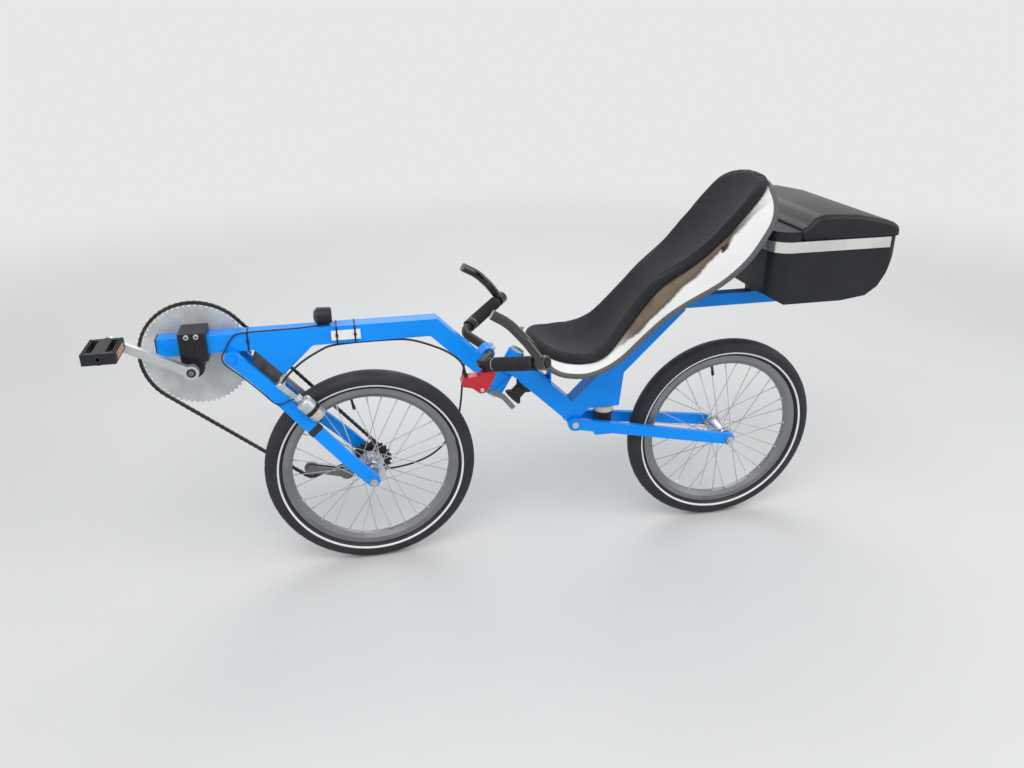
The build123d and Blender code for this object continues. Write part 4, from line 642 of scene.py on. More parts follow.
def turned(profile, at, axis, segments=24, flats=(), knurls=(), ring=False):
    """Vertices and faces of a piece turned round axis, from (along, radius) points in millimetres.

    Points whose index is in flats lie on a hexagon, those in knurls on a fine toothed circle. A ring
    closes on itself and has a bore.
    """
    axis = Vector(axis).normalized()
    side = axis.orthogonal().normalized()
    over = axis.cross(side)
    vertices = []
    count = len(profile)
    for i in range(segments):
        angle = 2 * math.pi * i / segments
        outward = side * math.cos(angle) + over * math.sin(angle)
        hexagon = math.cos(math.pi / 6) / math.cos(angle % (math.pi / 3) - math.pi / 6)
        for k, (along, radius) in enumerate(profile):
            shape = hexagon if k in flats else 1 - KNURL_DEPTH * (i % 2) if k in knurls else 1.0
            vertices.append(Vector(at) + axis * (along * MM) + outward * (radius * MM * shape))
    faces = grid_faces(segments, count, True, ring)
    if not ring:
        faces.append(tuple(i * count for i in range(segments)))
        faces.append(tuple(i * count + count - 1 for i in reversed(range(segments))))
    return vertices, faces


def block(low, high):
    """Vertices and faces of a box between two corners, which its bevel then rounds."""
    (x0, y0, z0), (x1, y1, z1) = low, high
    return [Vector((x, y, z)) for x in (x0, x1) for y in (y0, y1) for z in (z0, z1)], BOX_FACES


def joined(parts):
    """One list of vertices and one of faces from several."""
    vertices, faces = [], []
    for part_vertices, part_faces in parts:
        start = len(vertices)
        vertices += part_vertices
        faces += [tuple(v + start for v in face) for face in part_faces]
    return vertices, faces


def fix_normals(piece):
    """Turns every face of a closed piece outward."""
    shape = bmesh.new()
    shape.from_mesh(piece.data)
    bmesh.ops.recalc_face_normals(shape, faces=shape.faces)
    shape.to_mesh(piece.data)
    shape.free()


def fitting(name, parts, material, body, edge=0.0, crisp=True):
    """A piece made of closed parts, with crisp edges and an optional bevel in millimetres."""
    vertices, faces = joined(parts)
    piece = new_piece(name, vertices, faces, [material], body, smooth=False)
    fix_normals(piece)
    if edge:
        bevel(piece, edge)
    elif crisp:
        piece.data.shade_smooth()
        piece.data.set_sharp_from_angle(angle=SHARP_ANGLE)
    return piece


print("builders ready")

# %% [markdown]
# ## Tyres
# A touring tyre is nearly round in section, with a soft shoulder, a flat of tread and a thin bead. The line
# near the rim is reflective tape moulded into the side wall. We spin the section and colour the
# strip between two radii. The tread is cut as shallow slanted grooves, deep enough to break the highlight.

# %% Tyre section and tread
TYRE_HALF = 23 * MM
BEAD_RADIUS = 209.6 * MM
BEAD_TOE, BEAD_HEEL, BEAD_LIP = 11.0 * MM, 13.5 * MM, 1.5 * MM
SECTION_RADIUS = 228.2 * MM
SECTION_FROM, SECTION_TO, SECTION_STEPS = -52, 90, 22
LINE_LOW, LINE_HIGH = 216.8 * MM, 220.6 * MM
TREAD_SEGMENTS = 288
TREAD_HALF, TREAD_DROP = 17 * MM, 9 * MM
GROOVE_DEPTH = 1.1 * MM
GROOVE_EVERY, GROOVE_SLANT = 6, 4


def round_wheel(axle, radius, angle, y):
    return Vector((axle.x + radius * math.cos(angle), y, axle.z + radius * math.sin(angle)))


def tyre_section():
    """(y, radius) points round the tyre: bead, side wall, shoulder and crown."""
    points = [(-BEAD_TOE, BEAD_RADIUS), (-BEAD_HEEL, BEAD_RADIUS + BEAD_LIP)]
    for step in range(SECTION_STEPS + 1):
        angle = math.radians(SECTION_FROM + step * (SECTION_TO - SECTION_FROM) / SECTION_STEPS)
        height = (TYRE_RADIUS - SECTION_RADIUS) * math.sin(angle)
        points.append((-TYRE_HALF * math.cos(angle), SECTION_RADIUS + height))
    return points + [(-y, r) for y, r in points[-2::-1]]


def groove(i, y, radius):
    """How deep the tread is cut at segment i."""
    if abs(y) > TREAD_HALF or radius < TYRE_RADIUS - TREAD_DROP:
        return 0.0
    slant = int(abs(y) / TREAD_HALF * GROOVE_SLANT)
    return GROOVE_DEPTH if (i + slant) % GROOVE_EVERY == 0 else 0.0


section = tyre_section()
tyre_faces = grid_faces(TREAD_SEGMENTS, len(section), True, True)
for side, axle in wheel_axles.items():
    vertices = []
    for i in range(TREAD_SEGMENTS):
        angle = 2 * math.pi * i / TREAD_SEGMENTS
        vertices += [round_wheel(axle, radius - groove(i, y, radius), angle, y) for y, radius in section]
    tyre = new_piece(side + "_tyre_cover", vertices, tyre_faces, [tyre_rubber, reflective_line],
                     side + "_wheel")
    for face in tyre.data.polygons:
        middle = face.center - axle
        if LINE_LOW < math.hypot(middle.x, middle.z) < LINE_HIGH:
            face.material_index = 1
    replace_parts(tyre, side + "_tyre")
print("tyre faces", len(tyre_faces), "section points", len(section))

# %% [markdown]
# ## Spoke nipples and valves
# Each spoke ends in a small nipple that sits in the rim. They are tiny, but a ring of bright dots along the
# rim is what the eye expects of a laced wheel, so we stand one at the end of each CAD spoke. The valve comes
# through the rim between two spokes.

# %% Nipples and valves
RIM_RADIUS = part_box("front_rim")[1][0] - front_axle.x
RIM_DEPTH = 23 * MM
SPOKES_A_SIDE = 16
SPOKE_CROSS = math.radians(55)
# millimetres: how far in from the flange's edge a spoke is held, how far the spokes step to both sides of
# the flange, half the flange's thickness, and how far off the middle the rim's holes are
SPOKE_SEAT, SPOKE_STAGGER, FLANGE_HALF, RIM_HOLE_Y = 3, 2.2, 1.5, 4
NIPPLE = ((-0.6, 2.6), (0.8, 2.9), (2.0, 2.1), (11.0, 2.0), (12.0, 1.5))
VALVE = ((-1.0, 4.5), (1.5, 4.5), (2.2, 3.1), (17.0, 3.1), (17.4, 3.9), (27.0, 3.8), (29.0, 2.6))
VALVE_ANGLE = math.radians(101)
# side, flange radius, left and right flange places in millimetres
WHEEL_HUBS = (("front", 30.0, 36.0, 20.0), ("rear", 22.0, 34.0, 34.0))

for side, flange, flange_left, flange_right in WHEEL_HUBS:
    axle = wheel_axles[side]
    nipples = []
    for hand, flange_y in ((-1, -flange_left - FLANGE_HALF), (1, flange_right + FLANGE_HALF)):
        for i in range(SPOKES_A_SIDE):
            angle = 2 * math.pi * (i + (0.5 if hand > 0 else 0.0)) / SPOKES_A_SIDE
            lead = 1 if i % 2 else -1
            held_y = (flange_y + lead * SPOKE_STAGGER) * MM
            hub_end = round_wheel(axle, (flange - SPOKE_SEAT) * MM, angle + lead * SPOKE_CROSS, held_y)
            rim_end = round_wheel(axle, RIM_RADIUS - RIM_DEPTH, angle, hand * RIM_HOLE_Y * MM)
            nipples.append(turned(NIPPLE, rim_end, hub_end - rim_end, segments=8))
    fitting(side + "_nipples", nipples, hub_alloy, side + "_wheel")
    valve_at = round_wheel(axle, RIM_RADIUS - RIM_DEPTH, VALVE_ANGLE, 0.0)
    valve = turned(VALVE, valve_at, axle - valve_at, 16)
    fitting(side + "_valve", [valve], rubber, side + "_wheel")
print("rim radius", round(RIM_RADIUS, 4), "nipples a wheel", len(nipples))

# %% [markdown]
# ## Weld beads
# Where two tubes of the frame meet, a welder lays a row of small overlapping drops. In the CAD mesh such a
# seam is an edge at which two outer faces form an inner corner. So we look for those edges, leave out the
# ones inside the hollow tubes, and set a drop every few millimetres.

# %% Seams found on the mesh
SEAM_ANGLE = math.radians(24)
SEAM_CLEAR = 62 * MM
SEAM_LIFT = 0.5 * MM
SEAM_STEP = 1 * MM
SAME_POINT = 0.01 * MM
DROP_EVERY = 3.7 * MM
DROP_ALONG, DROP_ACROSS, DROP_HIGH = 2.7 * MM, 3.4 * MM, 1.7 * MM
DROP_RINGS, DROP_SEGMENTS = 4, 8


def seam_points(node_name):
    """Places, directions and outward normals along a node's inner corners that are open to the outside."""
    shape = bmesh.new()
    shape.from_mesh(nodes[node_name].data)
    bmesh.ops.remove_doubles(shape, verts=shape.verts, dist=SAME_POINT)
    tree = BVHTree.FromBMesh(shape)
    found = []
    for edge in shape.edges:
        if len(edge.link_faces) != 2 or edge.calc_face_angle_signed(0.0) > -SEAM_ANGLE:
            continue
        a, b = (v.co.copy() for v in edge.verts)
        outward = (edge.link_faces[0].normal + edge.link_faces[1].normal).normalized()
        if tree.ray_cast((a + b) / 2 + outward * SEAM_LIFT, outward, SEAM_CLEAR)[0]:
            continue
        steps = max(int((b - a).length / SEAM_STEP), 1)
        for step in range(steps):
            found.append((a.lerp(b, (step + 0.5) / steps), (b - a).normalized(), outward))
    shape.free()
    return found


def drop(at, along, outward):
    """One flat oval drop of weld metal."""
    over = outward.cross(along).normalized()
    vertices = [at + outward * DROP_HIGH]
    for ring in range(1, DROP_RINGS):
        tilt = math.pi / 2 * ring / (DROP_RINGS - 1)
        for i in range(DROP_SEGMENTS):
            turn = 2 * math.pi * i / DROP_SEGMENTS
            vertices.append(
                at + outward * DROP_HIGH * math.cos(tilt)
                + along * DROP_ALONG * math.sin(tilt) * math.cos(turn)
                + over * DROP_ACROSS * math.sin(tilt) * math.sin(turn)
            )
    faces = [(0, 1 + i, 1 + (i + 1) % DROP_SEGMENTS) for i in range(DROP_SEGMENTS)]
    rings = grid_faces(DROP_RINGS - 1, DROP_SEGMENTS, round_points=True)
    return vertices, faces + [tuple(1 + v for v in face) for face in rings]


def weld(name, node_names, body):
    kept = []
    for node_name in node_names:
        for place, along, outward in seam_points(node_name):
            if all((place - other[0]).length > DROP_EVERY for other in kept):
                kept.append((place, along, outward))
    vertices, faces = joined([drop(*row) for row in kept])
    new_piece(name, vertices, faces, [blue_paint], body)
    print(name, len(kept), "drops")


weld("front_welds", ("front_frame", "front_swing_arm"), "front")
weld("rear_welds", ("rear_frame", "rear_swing_arm"), "rear")

# %% [markdown]
# ## Cables
# The brake cable leaves the lever, swings round the bend of the boom, follows its lower edge and drops to
# the brake. The gear cable hangs from the right-hand shifter round the wheel to the derailleur. The thin lamp
# wire runs under ties along the boom and down to the dynamo. A cable keeps one thickness and bends smoothly,
# so each is a curve whose control points are the route.

# %% Routes in millimetres
CABLE_D = 5 * MM
WIRE_D = 3 * MM
BRAKE_ROUTE = (
    (-264.0, -124.0, -14.0), (-266.0, -121.0, 6.0), (-276.0, -108.0, 22.0), (-300.0, -84.0, 34.0),
    (-332.0, -54.0, 40.0), (-366.0, -26.0, 44.0), (-400.0, -12.0, 45.0), (-545.0, -13.0, 45.0),
    (-575.0, -24.0, 36.0), (-610.0, -27.0, 18.0), (-638.0, -28.0, -4.0), (-655.0, -27.0, -22.0),
    (-661.7, -26.0, -31.8),
)
SHIFT_ROUTE = (
    (-208.8, 139.2, -2.7), (-211.0, 145.0, -20.0), (-217.0, 141.0, -46.0), (-228.0, 124.0, -78.0),
    (-238.0, 100.0, -115.0), (-245.0, 84.0, -165.0), (-256.0, 74.0, -215.0), (-280.0, 70.0, -262.0),
    (-318.0, 69.0, -300.0), (-368.0, 69.5, -322.0), (-428.0, 69.0, -331.0), (-488.0, 66.0, -326.0),
    (-540.0, 60.3, -316.0),
)
LAMP_ROUTE = (
    (-560.0, -7.0, 92.0), (-572.0, -12.0, 90.4), (-612.0, -18.0, 90.0), (-680.0, -19.0, 90.0),
    (-722.0, -20.0, 90.0), (-748.0, -22.5, 89.0), (-762.0, -24.0, 74.0), (-773.0, -27.0, 55.0),
    (-782.0, -28.0, 42.0), (-781.0, -28.5, 28.0), (-771.0, -28.5, 15.0), (-747.0, -28.0, -7.0),
    (-720.0, -29.0, -36.5), (-700.0, -31.0, -59.0), (-688.0, -35.0, -72.5), (-675.0, -44.5, -78.5),
    (-659.0, -50.0, -71.0), (-645.0, -54.0, -63.0), (-633.4, -56.5, -60.1),
)


def cable(name, route, diameter):
    curve = bpy.data.curves.new(name, "CURVE")
    curve.dimensions = "3D"
    curve.bevel_depth = diameter / 2
    curve.bevel_resolution = 3
    curve.use_fill_caps = True
    curve.resolution_u = 8
    line = curve.splines.new("NURBS")
    line.points.add(len(route) - 1)
    for point, place in zip(line.points, route):
        point.co = (*(value * MM for value in place), 1.0)
    line.order_u = 3
    line.use_endpoint_u = True
    curve.materials.append(rubber)
    piece = new_object(name, curve)
    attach(piece, "front")
    return piece


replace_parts(cable("brake_hose", BRAKE_ROUTE, CABLE_D), "brake_cable")
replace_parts(cable("gear_hose", SHIFT_ROUTE, CABLE_D), "shift_cable")
cable("lamp_wire", LAMP_ROUTE, WIRE_D)
print("three cables")

# %% [markdown]
# ## Small parts of the front frame
# Ties hold the wire and the white strip to the boom, two socket screws draw the bracket's clamp together, and
# the cranks have dark caps over their bolts. A turned profile makes all of the round ones: a socket is only a
# profile that goes back down on six flats, and a black disc at its bottom is painted shade.

# %% Ties
BOOM_LOW, BOOM_HIGH, BOOM_SIDE, BOOM_MIDDLE = 48.0, 88.0, 20.0, 60
TIE_W, TIE_T, TIE_GAP = 3.6, 1.1, 0.1
LOCK_HALF, LOCK_OUT, LOCK_LOW, LOCK_HIGH = 3, 4.5, 66.5, 71.5
# millimetres: where along the boom, and where its near side is there
TIES = ((-534.0, -24.1), (-494.0, -24.1), (-724.0, -20.1))


def tie(x, near):
    """A strap round the boom at x, whose near side stands out to near, and its lock, in millimetres."""
    outline = ((near, BOOM_LOW), (near, BOOM_HIGH), (BOOM_SIDE, BOOM_HIGH), (BOOM_SIDE, BOOM_LOW))
    rows = []
    for out in (TIE_GAP, TIE_GAP + TIE_T):
        for y, z in outline:
            rows.append((y + math.copysign(out, y), z + (out if z > BOOM_MIDDLE else -out)))
    vertices = [mm(end, y, z) for end in (x - TIE_W / 2, x + TIE_W / 2) for y, z in rows]
    faces = []
    for k in range(4):
        m = (k + 1) % 4
        faces += [(k, m, 8 + m, 8 + k), (4 + k, 12 + k, 12 + m, 4 + m)]
        faces += [(k, 4 + k, 4 + m, m), (8 + k, 8 + m, 12 + m, 12 + k)]
    lock = block(mm(x - LOCK_HALF, near - LOCK_OUT, LOCK_LOW), mm(x + LOCK_HALF, near - TIE_T, LOCK_HIGH))
    return [(vertices, faces), lock]


ties = [part for place in TIES for part in tie(*place)]
fitting("boom_ties", ties, plastic, "front", edge=0.4)
print(len(TIES), "ties")

# %% Socket screws, with painted shade at the bottom of their sockets
SOCKET_SCREW = ((0.0, 5.5), (5.2, 5.5), (6.0, 4.8), (6.0, 2.9), (2.6, 2.9))
# a black disc at the bottom of each zinc socket, as painted shade in the recess
SOCKET_SHADE_DISC = ((2.7, 3.0), (3.0, 3.0))
STEM_TILT = math.radians(45)
STEM_TOP = 13.9
SCREW_OFF = 12

stem_up = Vector((math.sin(STEM_TILT), 0, math.cos(STEM_TILT)))
bar_at = mm(-192.0, 0.0, -8.0)
clamp_places = [mm(x, -34.3, 94.0) for x in (-846.0, -826.0)]
stem_places = [bar_at + stem_up * STEM_TOP * MM + Vector((0, hand * SCREW_OFF * MM, 0)) for hand in (-1, 1)]
SCREW_SETS = (("clamp_socket_screws", clamp_places, (0, -1, 0)), ("stem_screws", stem_places, stem_up))
shade_discs = []
for name, places, out in SCREW_SETS:
    screws = [turned(SOCKET_SCREW, place, out, flats=(3, 4)) for place in places]
    made = fitting(name, screws, zinc, "front")
    shade_discs += [turned(SOCKET_SHADE_DISC, place, out, flats=(0, 1)) for place in places]
    if places is clamp_places:
        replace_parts(made, "clamp_bolts")
fitting("socket_shade_discs", shade_discs, black_metal, "front")
print(len(shade_discs), "socket screws")

# %% Crank caps, crank bolts and bracket cups
DUST_CAP = ((0.0, 9.6), (1.6, 9.6), (2.4, 8.6), (2.4, 4.2), (1.2, 4.2))
CRANK_BOLT = ((1.3, 5.6), (3.0, 5.6), (3.6, 5.0), (3.6, 2.6), (2.0, 2.6))
BRACKET_CUP = ((0.0, 24.6), (3.2, 24.6), (3.2, 23.2), (0.0, 23.2))
CRANK_FACE, BRACKET_FACE = 66, 30.4
RIB_PLACES = (-853, -836, -819)
RIB_HALF, RIB_OUT, RIB_IN, RIB_LOW, RIB_HIGH = 3.2, -36.2, -33.5, 50, 86


def both_ends(profile, out, segments, **kind):
    """The same turned shape on both sides of the crank axis, out millimetres from the middle."""
    return [turned(profile, (crank_axis.x, hand * out * MM, crank_axis.z), (0, hand, 0), segments, **kind)
            for hand in (-1, 1)]


caps = both_ends(DUST_CAP, CRANK_FACE, 32, flats=(3, 4))
fitting("crank_caps", caps, plastic, "crankset")
bolts = both_ends(CRANK_BOLT, CRANK_FACE, 24, flats=(3, 4))
fitting("crank_bolts", bolts, dull_alloy, "crankset")
cups = both_ends(BRACKET_CUP, BRACKET_FACE, 40, knurls=(0, 1), ring=True)
fitting("bracket_cups", cups, black_metal, "front")
ribs = [block(mm(x - RIB_HALF, RIB_OUT, RIB_LOW), mm(x + RIB_HALF, RIB_IN, RIB_HIGH)) for x in RIB_PLACES]
fitting("clamp_ribs", ribs, black_metal, "front", edge=1.2)
print("caps, bolts, cups and", len(ribs), "ribs")

# %% [markdown]
# ## Grips and lever
# Each grip is a rubber sleeve with raised rings, so that a wet glove holds. The CAD grip is a plain sleeve,
# and ours has the same length and bore. Between grip and shifter sits a bright ring.

# %% Ribbed grips
RIB_EVERY = 4.2
GRIP_FROM, GRIP_TO = 45.0, 150.0
GRIP_BORE, GRIP_LIP, GRIP_OUT, GRIP_GROOVE, RIB_OUT_R = 11.5, 15.2, 16.0, 14.6, 15.9
GRIP_RING = ((43.1, 15.0), (44.9, 15.0), (44.9, 11.5), (43.1, 11.5))
BAR_PLUG = ((181.7, 11.0), (183.4, 10.4), (184.4, 8.2))


def grip_profile():
    """Points along the grip: a smooth collar, the ribs and a collar like the first."""
    collar = ((0.0, GRIP_BORE), (0.0, GRIP_LIP), (1.2, GRIP_OUT), (5.0, GRIP_OUT))
    points = [(GRIP_FROM + along, radius) for along, radius in collar]
    at = GRIP_FROM + 6.0
    while at < GRIP_TO - 8.0:
        points += [(at, GRIP_GROOVE), (at + 1.1, GRIP_GROOVE), (at + 1.7, RIB_OUT_R), (at + 3.3, RIB_OUT_R)]
        at += RIB_EVERY
    return points + [(GRIP_TO - along, radius) for along, radius in reversed(collar)]


for side, hand in (("left", -1), ("right", 1)):
    bend = mm(-233.0, hand * 110.0, 4.0)
    outward = mm(-107.0, hand * 235.0, 47.0) - bend
    sleeve = turned(grip_profile(), bend, outward, 40, ring=True)
    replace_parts(fitting(side + "_ribbed_grip", [sleeve], rubber, "front"), side + "_grip")
    ring = turned(GRIP_RING, bend, outward, 40, ring=True)
    fitting(side + "_grip_ring", [ring], hub_alloy, "front")
    fitting(side + "_bar_plug", [turned(BAR_PLUG, bend, outward, 28)], plastic, "front")
print("grip points", len(grip_profile()))

# %% Lever pivot, cable barrel and the nut of the blade
PIVOT_HEAD = ((0.0, 4.6), (1.6, 4.6), (2.4, 3.6), (2.4, 1.9), (1.2, 1.9))
BARREL = ((0.0, 4.4), (2.0, 4.6), (3.0, 4.0), (6.5, 4.0), (7.0, 4.6), (9.0, 4.6), (10.0, 3.4))
BLADE_NUT = ((0.0, 4.2), (3.0, 4.2), (3.6, 3.6))
pivots = [turned(PIVOT_HEAD, mm(-230.0, y, -46.0), (0, out, 0), 20, flats=(3, 4))
          for y, out in ((-136.0, -1), (-112.0, 1))]
fitting("lever_pivot", pivots, zinc, "front")
barrel = turned(BARREL, mm(-263.8, -124.3, -17.0), (-2.0, 3.0, 20.0), 20, knurls=(0, 1, 4, 5))
fitting("cable_barrel", [barrel], black_metal, "front")
blade_nut = turned(BLADE_NUT, mm(-208.0, -127.5, -56.0), (0, -1, 0), flats=(0, 1, 2))
fitting("blade_nut", [blade_nut], blue_paint, "front")
print("lever fittings")

# %% [markdown]
# ## Headlamp and bottle dynamo
# The lamp is a short cup with a dark domed glass, on a foot that stands on the boom. The dynamo is a
# turned bottle with a knurled roller. Both are simple profiles. They replace the plain CAD cylinders at the
# same places.

# %% Lamp
LAMP_DROP = 19 * MM
FOOT_IN, FOOT_HALF, FOOT_DROP = 7 * MM, 9 * MM, 4 * MM
LAMP_CUP = ((9.0, 17.2), (8.6, 18.4), (10.0, 18.9), (14.0, 18.9), (15.0, 18.2), (30.0, 18.0), (38.5, 17.2),
            (40.2, 15.6), (40.8, 13.0))
LAMP_DOME = ((9.6, 17.0), (6.0, 15.8), (3.2, 13.2), (1.4, 9.6), (0.5, 5.4), (0.2, 1.5))


def make_glass():
    """Dark glass with fine moulded ribs."""
    made = bpy.data.materials.new("lamp_glass")
    made.use_nodes = True
    tree = made.node_tree
    wave = add_node(tree, "ShaderNodeTexWave", {"bands_direction": "Y"}, Vector=object_place(tree),
                    Scale=90.0, Distortion=0.0)
    ribs = add_node(tree, "ShaderNodeBump", Strength=0.5, Distance=0.4 * MM, Height=wave.outputs[1])
    shader = tree.nodes["Principled BSDF"]
    for label, value in (
        ("Base Color", (0.030, 0.032, 0.036, 1.0)), ("Roughness", 0.08), ("Coat Weight", 0.6),
        ("Normal", ribs.outputs[0]),
    ):
        set_or_link(tree, shader.inputs[label], value)
    return made


lamp_low, lamp_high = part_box("headlamp")
lamp_front = Vector((lamp_low[0], 0, lamp_high[2] - LAMP_DROP))
cup = turned(LAMP_CUP, lamp_front, (1, 0, 0), 40)
foot = block((lamp_low[0] + FOOT_IN, -FOOT_HALF, lamp_low[2]),
             (lamp_high[0] - FOOT_IN, FOOT_HALF, lamp_front.z - FOOT_DROP))
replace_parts(fitting("lamp_cup", [cup, foot], plastic, "front", edge=1.2), "headlamp")
dome = turned(LAMP_DOME, lamp_front, (1, 0, 0), 40)
fitting("lamp_lens", [dome], make_glass(), "front", crisp=False)
print("lamp at", rounded(lamp_front))

# %% Dynamo
ARM_START = (-760.0, 0, 36.0)
BOTTLE = ((0.0, 8.0), (0.8, 9.0), (9.0, 9.0), (9.8, 8.2), (10.5, 5.0), (13.0, 5.0), (13.6, 9.0), (15.0, 14.0),
          (17.5, 17.6), (20.0, 18.8), (31.0, 18.8), (31.6, 18.2), (33.4, 18.2), (34.0, 18.8), (66.0, 18.8),
          (67.0, 18.2), (69.0, 18.0), (72.5, 15.6), (74.0, 11.0))
BOTTLE_BAND = ((42.0, 19.1), (52.0, 19.1), (52.0, 18.6), (42.0, 18.6))
arm_along = (front_axle - mm(*ARM_START)).normalized()
arm_up = Vector((-arm_along.z, 0, arm_along.x))


def on_arm(s, up, y):
    """A point of the front arm's own frame: along, up and across, in millimetres."""
    return mm(ARM_START[0], y, ARM_START[2]) + arm_along * s * MM + arm_up * up * MM


dynamo_at = on_arm(152, 34.3, -56.5)
bottle = turned(BOTTLE, dynamo_at, arm_along, 48, knurls=(1, 2))
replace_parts(fitting("dynamo_bottle", [bottle], cast_alloy, "front"), "dynamo")
band = turned(BOTTLE_BAND, dynamo_at, arm_along, 48, ring=True)
bracket = block(mm(-623.0, -48.0, -93.0), mm(-607.0, -38.5, -80.0))
fitting("dynamo_band", [band, bracket], black_metal, "front", edge=0.3)
print("dynamo at", rounded(dynamo_at))

# %% [markdown]
# ## Brake pads and pivots
# The brake's two arms end in rubber pads that hold the rim between them. Each pad is a slotted block on a
# threaded stud, and each arm turns on a bolt. A strip of tape round the arm holds the lamp wire.

# %% Pads and studs
PAD_REACH, PAD_HALF = 222.0, 22
PAD_SLOTS, PAD_SLOT_EVERY, PAD_BLOCK = 4, 11.2, 10.2
RIM_SIDE, PAD_GAP = 12.5, 1.5
STUD = ((0.0, 5.5), (3.0, 5.5), (3.4, 3.0), (22.0, 3.0), (22.6, 2.4))
PIVOT_BOLT = ((0.0, 6.5), (3.2, 6.5), (4.0, 5.6), (4.0, 2.6), (2.2, 2.6))


def arm_block(s, up, y):
    """A box in the arm's frame from pairs of low and high values."""
    return [on_arm(a, b, c) for a in s for b in up for c in y], BOX_FACES


pads, studs = [], []
for hand in (-1, 1):
    for i in range(PAD_SLOTS):
        low = PAD_REACH - PAD_HALF + i * PAD_SLOT_EVERY
        across = sorted((hand * (RIM_SIDE + PAD_GAP), hand * 21.0))
        pads.append(arm_block((low, low + PAD_BLOCK), (9.5, 19.5), across))
    backing = sorted((hand * 18.0, hand * 23.5))
    pads.append(arm_block((PAD_REACH - PAD_HALF, PAD_REACH + PAD_HALF), (10.0, 19.0), backing))
    studs.append(turned(STUD, on_arm(208.0, 17.0, hand * 41.0), (0, -hand, 0), 20, flats=(0, 1)))
    studs.append(turned(PIVOT_BOLT, on_arm(116.0, 21.6, hand * 36.5), (0, hand, 0), flats=(3, 4)))
fitting("brake_pads", pads, rubber, "front", edge=0.5)
fitting("brake_studs", studs, zinc, "front")
print("pads", len(pads), "studs", len(studs))

# %% Tape round the near leg of the arm
LEG_BEND, LEG_RUN, LEG_NEAR, LEG_FAR = 90.0, 257.2, 26.3, 69.0
TAPE_FROM, TAPE_TO = 232.0, 248.0
TAPE_HALF_Y, TAPE_HALF_UP = 6.9, 15.8


def tape_corner(s, up, side):
    """A corner of the tape. The leg spreads outward on its way to the axle."""
    leg_y = LEG_NEAR + (LEG_FAR - LEG_NEAR) * (s - LEG_BEND) / LEG_RUN
    return on_arm(s, up, -leg_y + side * TAPE_HALF_Y)


tape = [tape_corner(s, up, side) for s in (TAPE_FROM, TAPE_TO) for up in (-TAPE_HALF_UP, TAPE_HALF_UP)
        for side in (-1, 1)]
fitting("arm_tape", [(tape, BOX_FACES)], rubber, "front", edge=0.6)
print("tape", TAPE_TO - TAPE_FROM, "mm wide")

# %% [markdown]
# ## Pedals
# The pedals are flat resin cages. Small pins on their edges stop a shoe from sliding, and an amber
# reflector fills the front and the rear of each.

# %% Reflectors and pins
LIGHT_DEEP, LIGHT_WIDE, LIGHT_HIGH = 1.6, 29, 6.5
PEDAL_PIN = ((-1.0, 1.8), (1.2, 1.6), (2.0, 0.9))
PIN_IN, PIN_FIRST, PIN_EVERY, PINS_A_SIDE = 3.5, 9, 14.4, 6
PEDAL_CAP = ((0.0, 8.4), (0.8, 8.4), (1.4, 7.6), (1.4, 3.2), (-1.5, 3.2))
for side, out in (("left", -1), ("right", 1)):
    body = "pedal_" + side
    low, high = (Vector(corner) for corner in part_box(side + "_pedal"))
    middle = (low + high) / 2
    size = mm(LIGHT_DEEP, LIGHT_WIDE, LIGHT_HIGH)
    places = [Vector((x, middle.y, middle.z)) for x in (low.x, high.x)]
    lights = [block(at - size, at + size) for at in places]
    fitting(side + "_reflectors", lights, amber, body, edge=0.6)
    pins = []
    for x in (low.x + PIN_IN * MM, high.x - PIN_IN * MM):
        for step in range(PINS_A_SIDE):
            y = low.y + (PIN_FIRST + step * PIN_EVERY) * MM
            pins += [turned(PEDAL_PIN, (x, y, z), (0, 0, up), 8) for z, up in ((high.z, 1), (low.z, -1))]
    fitting(side + "_pedal_pins", pins, plastic, body)
    end = (middle.x, low.y if out < 0 else high.y, middle.z)
    fitting(side + "_pedal_cap", [turned(PEDAL_CAP, end, (0, out, 0), 28)], plastic, body)
print("pedal pins", len(pins))

# %% [markdown]
# ## Seat shell
# The shell is a sheet of laminate laid in a mould: a dish under the thighs, a narrow waist, wide wings behind
# the shoulder blades, and ends that are rounded in plan. Such a sheet is a height over a plan, so we walk
# along the seat, take the widths and heights of the nearest rows of a short table, and lay a grid of points.
# Solidify gives the sheet its thickness and a grey rim in the same step.

# %% Where the seat runs
SEAT_ARC = 154 * MM
SEAT_ARC_Z = 132 * MM
SEAT_NOSE = 37.5 * MM
NOSE_TILT = math.radians(28)
SEAT_BACK = 492 * MM
ARC_LOW = SEAT_NOSE + SEAT_ARC * NOSE_TILT
ARC_END = ARC_LOW + SEAT_ARC * SEAT_TILT
SEAT_TOP = ARC_END + SEAT_BACK


def seat_place(s):
    """A point on the seat's middle line at distance s from its front lip, and the directions along and up."""
    angle = min(max((s - ARC_LOW) / SEAT_ARC, -NOSE_TILT), SEAT_TILT)
    along = Vector((math.cos(angle), 0, math.sin(angle)))
    up = Vector((-math.sin(angle), 0, math.cos(angle)))
    past = s - ARC_END if s > ARC_END else min(s - SEAT_NOSE, 0.0)
    return Vector((0, 0, SEAT_ARC_Z)) - SEAT_ARC * up + past * along, along, up


print("seat from", rounded(seat_place(0.0)[0]), "to", rounded(seat_place(SEAT_TOP)[0]))

